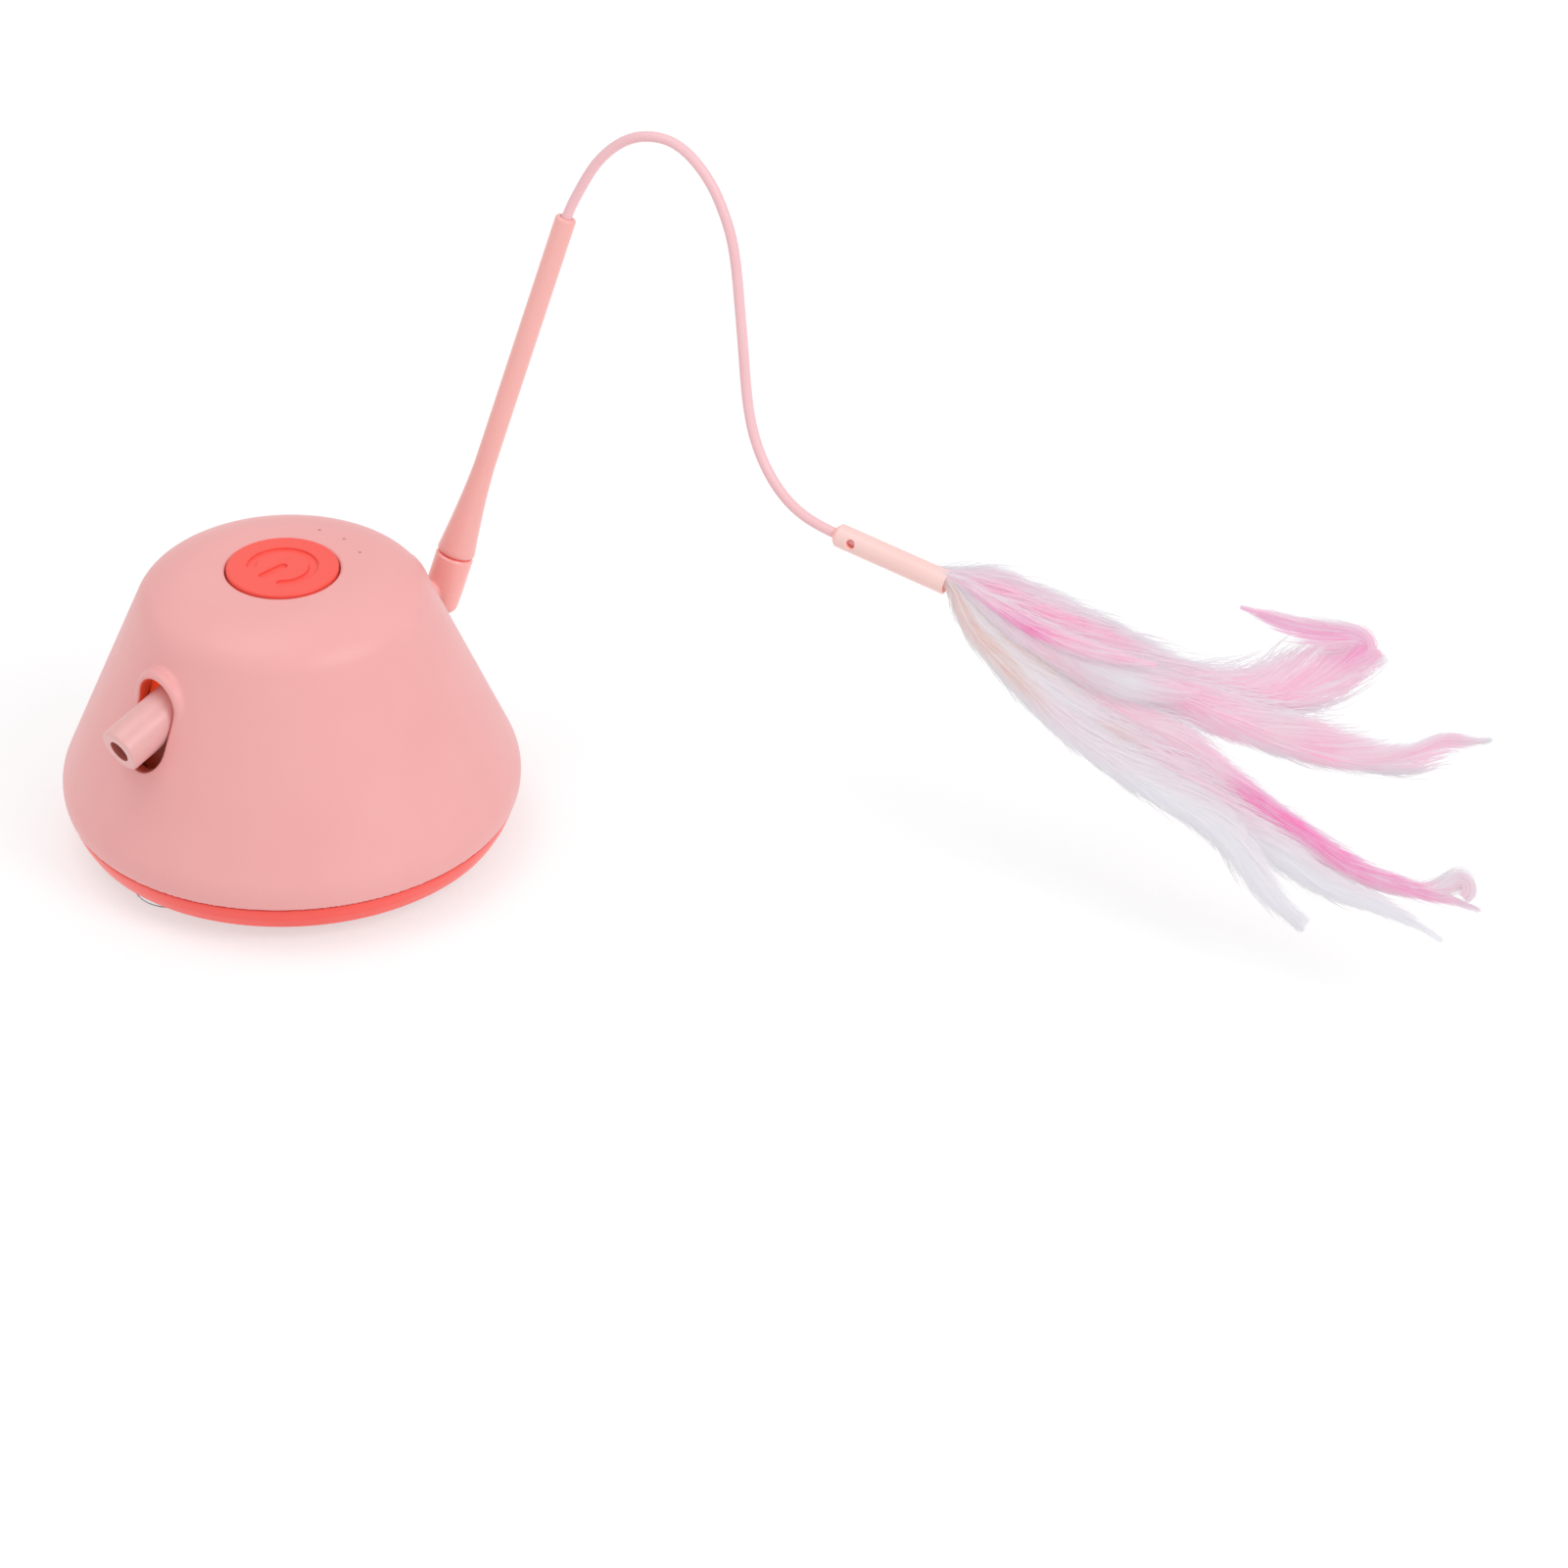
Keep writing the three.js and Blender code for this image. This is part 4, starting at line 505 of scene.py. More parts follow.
def metal_skin():
    """Rolled or drawn metal: patches in its colour and shine, and fine scratches."""
    group, given, where = skin_group("metal_skin", ("Colour", "Deep colour", "Shine"))
    patch = noise(group, where, 420, 4)
    stretched = node(group, "ShaderNodeMapping", {"Vector": where, "Scale": (1, 1, 12)})
    scratch = noise(group, stretched, 900, 2)
    node(group, "NodeGroupOutput", {
        "Colour": mixed(group, patch, given["Colour"], given["Deep colour"]),
        "Roughness": maths(group, "ADD", given["Shine"], spread(group, patch, -0.1, 0.12)),
        "Normal": bump(group, scratch, 0.2, 0.00003)})
    return group


METAL_SKIN = metal_skin()


def metal(name, colour, deep, shine):
    material, tree = new_material(name)
    inputs = {"Colour": rgb(*colour), "Deep colour": rgb(*deep), "Shine": shine}
    surfaced(tree, {"Metallic": 1.0}, node(tree, "ShaderNodeGroup", inputs, node_tree=METAL_SKIN))
    return material


def finish_nodes(material, *kinds):
    """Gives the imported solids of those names, numbered or not, their finish."""
    for name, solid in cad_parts.items():
        if name.rstrip("_0123456789") in kinds:
            solid.data.materials.clear()
            solid.data.materials.append(material)


zinc_steel = metal("zinc_steel", (196, 199, 204), (160, 163, 168), 0.3)
finish_nodes(zinc_steel, "case_screw", "board_screw", "cover_screw", "gearbox_screw", "motor_screw", "tray_screw",
             "socket_screw", "hinge_pin", "output_gear_pin", "middle_gear_pin", "motor_shaft")

# --- Gearbox, gears and tray ---
# Natural acetal and white ABS mouldings, screwed to the cover. The gears carry a film of grease.
# The sector gear is part of the rocker, so it is coral.
frame_white = moulded_plastic("frame_white", (233, 228, 222), (214, 208, 200), 0.5, 0.25)
finish_nodes(frame_white, "gearbox_frame", "gearbox_cover", "battery_tray")
gear_white = moulded_plastic("gear_acetal", (244, 241, 232), (226, 218, 200), 0.28, 0.08, 0.3)
finish_nodes(gear_white, "output_gear", "middle_gear")

# --- Motor ---
# A small brushed motor in a plated steel can, with a brass pinion pressed on its shaft.
# It sits in the gearbox plate, behind the middle wheel.
motor_steel = metal("motor_can_steel", (206, 208, 212), (182, 184, 190), 0.24)
finish_nodes(motor_steel, "motor_can")
brass = metal("brass", (206, 168, 92), (176, 138, 70), 0.32)
finish_nodes(brass, "motor_pinion")

# --- Battery ---
# One flat lithium cell in a blue shrink sleeve, held in its tray.
# The sleeve is glossy, with soft wrinkles across it.
shrink_blue, tree = new_material("shrink_sleeve_blue")
folds = node(tree, "ShaderNodeMapping", {"Vector": object_place(tree), "Scale": (1, 5, 1)})
wrinkle = noise(tree, folds, 120, 4)
surfaced(tree, {
    "Base Color": mixed(tree, wrinkle, rgb(74, 116, 176), rgb(102, 142, 194)),
    "Roughness": spread(tree, wrinkle, 0.2, 0.42), "Normal": bump(tree, wrinkle, 0.4, 0.0003)})
finish_nodes(shrink_blue, "battery_cell")

# --- Circuit board, charging board and socket ---
# Green glass-fibre boards with a woven core and solder mask over their tracks.
# The socket is a folded steel shell, soldered to its own small board.
board_green, tree = new_material("board_green")
where = object_place(tree)
tracks = node(tree, "ShaderNodeTexBrick", {
    "Vector": where, "Scale": 260, "Mortar Size": 0.03, "Color1": rgb(28, 104, 70), "Color2": rgb(34, 116, 78),
    "Mortar": rgb(60, 148, 96)})
weave = node(tree, "ShaderNodeTexWave", {"Vector": where, "Scale": 1500, "Distortion": 0.4}).outputs["Fac"]
surfaced(tree, {"Base Color": tracks, "Roughness": spread(tree, weave, 0.3, 0.45),
                "Normal": bump(tree, weave, 0.15, 0.00005), "Coat Weight": 0.3})
finish_nodes(board_green, "circuit_board", "charging_board")
socket_steel = metal("socket_steel", (210, 212, 214), (188, 190, 194), 0.26)
finish_nodes(socket_steel, "charging_socket")

# --- Lamps and switch ---
# Three red lamps stand under the pinholes, and a black tactile switch sits under the button.
# The lamps are cast epoxy, cloudy inside.
lamp_red = moulded_plastic("lamp_epoxy", (224, 74, 58), (196, 50, 40), 0.16, 0.03, 0.5)
finish_nodes(lamp_red, "status_lamp")
switch_black = moulded_plastic("switch_black", (34, 34, 36), (22, 22, 24), 0.45, 0.25)
finish_nodes(switch_black, "switch_body", "switch_plunger")

# --- Power button ---
# A coral cap that stands half a millimetre out of the roof, with a sunk power sign moulded in its top.
# A flange under the roof keeps it in, and a stem presses the switch.
BUTTON_RADIUS = 13.47
BUTTON_TOP = 69.2
FLANGE_RADIUS = 15.05
FLANGE_LOW, FLANGE_HIGH = 65.1, 66.0
CAP_HOLLOW, CAP_STEM = (11.87, 60, 67.6), (2.0, 64.6, 68.2)
SIGN_RING, SIGN_GAP = 7.45, 47
SIGN_BAR = (-6.0, 0.1)
SIGN_LINE, SIGN_DEPTH = 1.1, 0.6
cap_distance = turned_distance(rounded([
    (0, FLANGE_LOW, 0), (FLANGE_RADIUS, FLANGE_LOW, 0.1), (FLANGE_RADIUS, FLANGE_HIGH, 0.1),
    (BUTTON_RADIUS, FLANGE_HIGH, 0), (BUTTON_RADIUS, BUTTON_TOP, 0.75), (0, BUTTON_TOP, 0)]), 0.1)


def button_distance(x, y, z):
    cap = cap_distance(x, y, z)
    cap = cut(cap, rod_distance(x, y, z, (0, 0), *CAP_HOLLOW), 0.2)
    cap = joined(cap, rod_distance(x, y, z, (0, 0), *CAP_STEM), 0.2)
    radius, angle = np.hypot(x, y), np.degrees(np.abs(np.arctan2(y, -x)))
    end_x, end_y = on_circle(SIGN_RING, SIGN_GAP)
    ring = np.where(angle > SIGN_GAP, np.abs(radius - SIGN_RING), np.hypot(x + end_x, np.abs(y) - end_y))
    bar = np.hypot(x - np.clip(x, *SIGN_BAR), y)
    groove = np.maximum(np.minimum(ring, bar) - SIGN_LINE, BUTTON_TOP - SIGN_DEPTH - z)
    return cut(cap, groove, 0.25)


button_mesh = moulded("button", button_distance, (-16.2, -16.2, 63.8), (16.2, 16.2, 69.8), 0.2)
button_coral = moulded_plastic("button_coral", (252, 92, 80), (248, 84, 73), 0.42, 0.08, 0.05)
dressed("button", button_mesh, button_coral, "button", ["power_button"])

# --- Rocker ---
# One coral acetal moulding: hub, levers, slot shutters, spigots and sector gear.
# Its shutters close the slots behind the arm tubes. Low down it is painted dark, a painted shade, and above that
# it has a painted coral glow, so the slots look coral above the tubes and dark below.
rocker_coral, tree = new_material("rocker_coral")
skin = moulding(tree, (252, 96, 58), (240, 80, 46), 0.42, 0.12)
height = node(tree, "ShaderNodeSeparateXYZ", {0: object_place(tree)}).outputs["Z"]
# Painted shade darkens the rocker low down, and a painted glow lights it higher up
painted_shade_low = fading(tree, height, 0.038, 0.048, 0.85)
surfaced(tree, {
    "Base Color": mixed(tree, painted_shade_low, skin.outputs["Colour"], rgb(96, 18, 12)), "IOR": 1.46,
    "Emission Color": mixed(tree, painted_shade_low, rgb(255, 84, 40), BLACK), "Emission Strength": 0.32}, skin)
finish_nodes(rocker_coral, "rocker")

# --- Arm tubes ---
# Two pink ABS tubes with rounded ends, pushed on the rocker's spigots.
# The bare one ends in an open bore, and the other takes the elbow.
ARM_MEET = (0, 0, 0.0572)
ARM_TURN = 108
TUBE_RADIUS, TUBE_BORE, TUBE_START, TUBE_SIDES = 5.65, 2.8, 29.3, 72


def off_axis(tree, where, start, ahead):
    """The distance to the line that runs through a point in a given direction."""
    across = vectors(tree, "CROSS_PRODUCT", vectors(tree, "SUBTRACT", where, start), ahead)
    return vectors(tree, "LENGTH", across).outputs["Value"]


arm_pink, tree = new_material("arm_pink")
skin = moulding(tree, (235, 180, 178), (230, 171, 169), 0.36, 0.08)
# The bore is painted a deeper red, a painted shade tinted like bounce light from the coral spigot behind it. One
# side's place serves both arms.
one_side = vectors(tree, "ABSOLUTE", object_place(tree))
arm_x, arm_z = on_circle(1, 90 - ARM_TURN)
from_axis = off_axis(tree, one_side, ARM_MEET, (arm_x, 0, arm_z))
bore = fading(tree, from_axis, 0.00278, 0.00305)
surfaced(tree, {"Base Color": mixed(tree, bore, skin.outputs["Colour"], rgb(190, 104, 92)), "IOR": 1.46,
                "Coat Weight": 0.08, "Coat Roughness": 0.3}, skin)

for name, end, edge, turn in (("bare_arm", 55.0, 0.7, math.pi), ("wand_arm", 44.3, 0.4, 0)):
    tube = rounded([(TUBE_BORE, TUBE_START, 0), (TUBE_RADIUS, TUBE_START, 0.2), (TUBE_RADIUS, end, edge),
                    (TUBE_BORE, end, edge * 0.3), (TUBE_BORE, TUBE_START, 0)])
    place = (Matrix.Rotation(turn, 4, "Z") @ Matrix.Translation(ARM_MEET)
             @ Matrix.Rotation(math.radians(ARM_TURN), 4, "Y"))
    dressed(name, turned(name, tube, TUBE_SIDES), arm_pink, "rocker", [name + "_tube"], place)

# --- Elbow ---
# A short barrel with a slanted foot. A leg plugs into the arm, and the wand's spigot turns in its top.
# It is the same plastic as the wand, in a copy of its colour set a little apart to suit how light falls on the
# elbow, which is painted light.
ELBOW_PLACE = (Matrix.Translation((0.050311, 0, 0.040853)) @ Matrix.Rotation(math.radians(18), 4, "Y")
               @ Matrix.Rotation(math.radians(7.4), 4, "X"))
BARREL_RADIUS, BARREL_ROUND = 4.66, 2.6
BARREL_LOW, BARREL_TOP, TOP_BEVEL = -5, 10.35, (0.51, 0.6)
FOOT_SLANT = (0.94, -0.342, 2.66)
COLLAR_RADIUS, COLLAR_END = 2.7, -8.3
PLUG_RADIUS, PLUG_END = 2.5, -15.9
WAND_HOLE = (2.5, 4.35, 12)
flat_radius = BARREL_RADIUS - BARREL_ROUND
barrel_distance = turned_distance(
    [(0, BARREL_LOW), (flat_radius, BARREL_LOW)]
    + arc_points((flat_radius, BARREL_LOW + BARREL_ROUND), BARREL_ROUND, -90, 0, 10)
    + [(BARREL_RADIUS, BARREL_TOP - TOP_BEVEL[1]), (BARREL_RADIUS - TOP_BEVEL[0], BARREL_TOP),
       (0, BARREL_TOP)], 0.1)


def elbow_distance(x, y, z):
    slant = x * FOOT_SLANT[0] + z * FOOT_SLANT[1] - FOOT_SLANT[2]
    barrel = np.maximum(barrel_distance(x, y, z), slant)
    radius = np.hypot(y, z)
    collar = np.maximum(radius - COLLAR_RADIUS, np.maximum(COLLAR_END - x, x))
    plug = np.maximum(radius - PLUG_RADIUS, np.maximum(PLUG_END - x, x))
    body = joined(joined(barrel, collar, 0.6), plug, 0.15)
    return cut(body, rod_distance(x, y, z, (0, 0), *WAND_HOLE), 0.15)


elbow_pink = moulded_plastic("elbow_pink", (254, 183, 177), (250, 175, 168), 0.28, 0.06, 0.15)
elbow_mesh = moulded("elbow", elbow_distance, (-17, -5.8, -6.2), (5.8, 5.8, 11.4), 0.25)
dressed("elbow", elbow_mesh, elbow_pink, "elbow", ["elbow_connector"], ELBOW_PLACE)

# --- Wand ---
# A stiff pink tube, flared at its foot where it turns in the elbow, and bored at its tip for the wire.
# A thin coral ring shows in the gap between the elbow and the wand's foot.
WAND_PLACE = ELBOW_PLACE @ Matrix.Rotation(math.radians(-70), 4, "Z")
WAND_FOOT = 10.65
WAND_TIP = 102.15
WAND_RADIUS, TIP_ROUND = 2.58, 0.6
BORE_RADIUS, BORE_DEPTH = 1.46, 7.3
SPIGOT_RADIUS, SPIGOT_END = 2.25, 4.65
FOOT_RADIUS, FOOT_BEVEL = 4.6, 0.4
FLARE_START, FLARE_LENGTH, FLARE_GROWTH = WAND_FOOT + 0.45, 25, 2.14
RING_BORE, RING_RADIUS, RING_LOW, RING_HIGH = 2.6, 4.3, 10.37, 10.63
wand_profile = (
    [(0, SPIGOT_END), (SPIGOT_RADIUS, SPIGOT_END), (SPIGOT_RADIUS, WAND_FOOT),
     (FOOT_RADIUS - FOOT_BEVEL, WAND_FOOT), (FOOT_RADIUS, WAND_FOOT + FOOT_BEVEL)]
    + [(WAND_RADIUS + FLARE_GROWTH * (1 - s) ** 1.5, FLARE_START + FLARE_LENGTH * s)
       for s in np.linspace(0.01, 1, 26)]
    + [(WAND_RADIUS, WAND_TIP - 0.7)]
    + arc_points((WAND_RADIUS - TIP_ROUND, WAND_TIP - TIP_ROUND), TIP_ROUND, 0, 90, 6)
    + [(BORE_RADIUS, WAND_TIP), (BORE_RADIUS, WAND_TIP - BORE_DEPTH), (0, WAND_TIP - BORE_DEPTH)])
wand_pink = moulded_plastic("wand_pink", (248, 182, 176), (244, 175, 169), 0.26, 0.06, 0.2)
dressed("wand", turned("wand", wand_profile, TUBE_SIDES), wand_pink, "wand", ["wand_tube"], WAND_PLACE)
ring_profile = [(RING_BORE, RING_LOW), (RING_RADIUS, RING_LOW), (RING_RADIUS, RING_HIGH), (RING_BORE, RING_HIGH),
                (RING_BORE, RING_LOW)]
ring_mesh = turned("neck_ring", ring_profile, TUBE_SIDES)
dressed("neck_ring", ring_mesh, button_coral, "wand", [], WAND_PLACE)

# --- Spring wire ---
# A steel wire in a soft pink PVC coat, 2.5 mm thick, sprung over in one hump.
# It is stiff enough to hold the feathers up, so it is one rigid curve and not a free cord.
WIRE_RADIUS, GLUE_RADIUS = 1.26, 1.44
WIRE_STEPS, WIRE_SIDES = 220, 16
WIRE_IN_WAND, WIRE_IN_SLEEVE = (7, 3.5), 8
WIRE_ROUTE = [
    (0.27, 2.7), (1.08, 7.92), (2.7, 14.85), (5.58, 20.88), (9.45, 25.29), (13.95, 27.81), (18.9, 28.8),
    (23.58, 28.08), (28.08, 26.1), (32.4, 23.22), (36.72, 19.08), (40.86, 13.95), (44.73, 7.2), (48.15, 0),
    (51.48, -7.2), (54.81, -14.58), (58.5, -22.32), (62.82, -29.25), (68.04, -34.92), (73.8, -39.06),
    (79.65, -41.4), (85.5, -42.21), (90, -42.21)]
SLEEVE_TILT = 2.5


def lengths_along(points):
    return np.concatenate([[0], np.cumsum(np.linalg.norm(np.diff(points, axis=0), axis=1))])


def flowing(points, count):
    """A smooth line of that many points through the given ones, evenly spaced along it."""
    knots = lengths_along(points)
    gaps = np.diff(knots)[:, None]
    steps = np.diff(points, axis=0) / gaps
    n = len(points)
    system, right = np.eye(n), np.zeros((n, 3))
    for i in range(1, n - 1):
        before, after = gaps[i - 1, 0], gaps[i, 0]
        system[i, i - 1:i + 2] = before, 2 * (before + after), after
        right[i] = 6 * (steps[i] - steps[i - 1])
    bend = np.linalg.solve(system, right)
    at = np.linspace(0, knots[-1], count)
    i = np.clip(np.searchsorted(knots, at, "right") - 1, 0, n - 2)
    h, t = gaps[i], (at - knots[i])[:, None]
    return (bend[i] * (h - t) ** 3 / (6 * h) + bend[i + 1] * t ** 3 / (6 * h)
            + (points[i] / h - bend[i] * h / 6) * (h - t) + (points[i + 1] / h - bend[i + 1] * h / 6) * t)


def swept(line, radii, sides):
    """The points and faces of a round section carried along a line without twist, with closed ends."""
    ahead = unit(np.gradient(line, axis=0))
    side = np.cross(ahead[0], (0.13, 0.98, 0.1))
    turns = [on_circle(1, 360 * k / sides) for k in range(sides)]
    points, faces = [], []
    for i, (here, way, radius) in enumerate(zip(line, ahead, radii)):
        side = unit(side - way * side.dot(way))
        up = np.cross(way, side)
        points += [here + radius * (side * across + up * rise) for across, rise in turns]
        if i:
            low, high = (i - 1) * sides, i * sides
            faces += [(low + k, low + (k + 1) % sides, high + (k + 1) % sides, high + k) for k in range(sides)]
    faces.append(range(sides)[::-1])
    faces.append(range(len(points) - sides, len(points)))
    return points, faces


wire_pink, tree = new_material("wire_coat_pink")
skin = moulding(tree, (245, 198, 203), (240, 186, 192), 0.38, 0.1)
surfaced(tree, {"Sheen Weight": 0.1}, skin)

wire_end, wire_drop = WIRE_ROUTE[-1]
in_sleeve = on_circle(WIRE_IN_SLEEVE, SLEEVE_TILT)
wire_points = ([(0, WAND_TIP - depth) for depth in WIRE_IN_WAND] + [(x, WAND_TIP + z) for x, z in WIRE_ROUTE]
               + [(wire_end + in_sleeve[0], WAND_TIP + wire_drop + in_sleeve[1])])
wire_line = flowing(np.array([(x, 0, z) for x, z in wire_points]), WIRE_STEPS)
# Glue fills the wand's bore round the wire
glued = (wire_line[:, 2] < WAND_TIP - 0.2) & (wire_line[:, 0] < 1)
wire_mesh = new_mesh("wire", *swept(wire_line, np.where(glued, GLUE_RADIUS, WIRE_RADIUS), WIRE_SIDES))
dressed("wire", wire_mesh, wire_pink, "wand", ["spring_wire"], WAND_PLACE)

# --- Feather sleeve ---
# A pale pink tube pushed on the wire's end, with a small hole where the wire is glued.
# Its open mouth grips the feathers.
LURE_PLACE = (WAND_PLACE @ Matrix.Translation((wire_end * 0.001, 0, (WAND_TIP + wire_drop) * 0.001))
              @ Matrix.Rotation(math.radians(-SLEEVE_TILT), 4, "Y"))
SLEEVE_RADIUS, SLEEVE_LENGTH, NOSE_RADIUS = 2.9, 30, 2.0
MOUTH_RADIUS, MOUTH_START = 2.3, 14
WIRE_STOP = 8.6
GLUE_HOLE, GLUE_HOLE_RADIUS = 5, 1.1


def sleeve_distance(x, y, z):
    radius = np.hypot(y, z)
    tube = np.maximum(radius - SLEEVE_RADIUS, np.maximum(-x, x - SLEEVE_LENGTH))
    tube = np.maximum(tube, (radius - x - NOSE_RADIUS) * math.sqrt(0.5))
    tube = cut(tube, np.maximum(radius - BORE_RADIUS, x - WIRE_STOP), 0.2)
    tube = cut(tube, np.maximum(radius - MOUTH_RADIUS, MOUTH_START - x), 0.25)
    return cut(tube, np.maximum(np.hypot(x - GLUE_HOLE, z) - GLUE_HOLE_RADIUS, y), 0.4)


sleeve_pink, tree = new_material("sleeve_pink")
skin = moulding(tree, (250, 212, 207), (247, 203, 197), 0.34, 0.08)
# The bore and the small hole are painted salmon inside as painted shade, with a painted glow that stands in for
# light through the thin wall
from_axis = off_axis(tree, object_place(tree), LURE_PLACE.translation, LURE_PLACE.col[0][:3])
bore = fading(tree, from_axis, 0.0024, 0.0027)
surfaced(tree, {
    "Base Color": mixed(tree, bore, skin.outputs["Colour"], rgb(243, 182, 168)), "Coat Weight": 0.1,
    "Coat Roughness": 0.3, "Emission Color": mixed(tree, bore, BLACK, rgb(236, 150, 132)),
    "Emission Strength": 0.2}, skin)
sleeve_mesh = moulded("sleeve", sleeve_distance, (-1, -3.8, -3.8), (31, 3.8, 3.8), 0.2)
dressed("sleeve", sleeve_mesh, sleeve_pink, "wand", ["feather_sleeve"], LURE_PLACE)

# --- Feathers ---
# A bunch of dyed rooster and marabou feathers, glued in the sleeve's mouth.
# Each is a thin quill with two vanes of fine soft barbs that sweep towards its tip.
# Hot, deep and plain pink, rose, lilac, white, grey and tan
TINTS = {"h": rgb(246, 189, 223), "d": rgb(244, 209, 229), "p": rgb(246, 219, 232), "r": rgb(244, 225, 233),
         "l": rgb(240, 231, 236), "w": rgb(241, 240, 243), "g": rgb(233, 232, 235), "t": rgb(238, 222, 220)}
WHITE, GREY = (np.array(TINTS[letter][:3]) for letter in "wg")
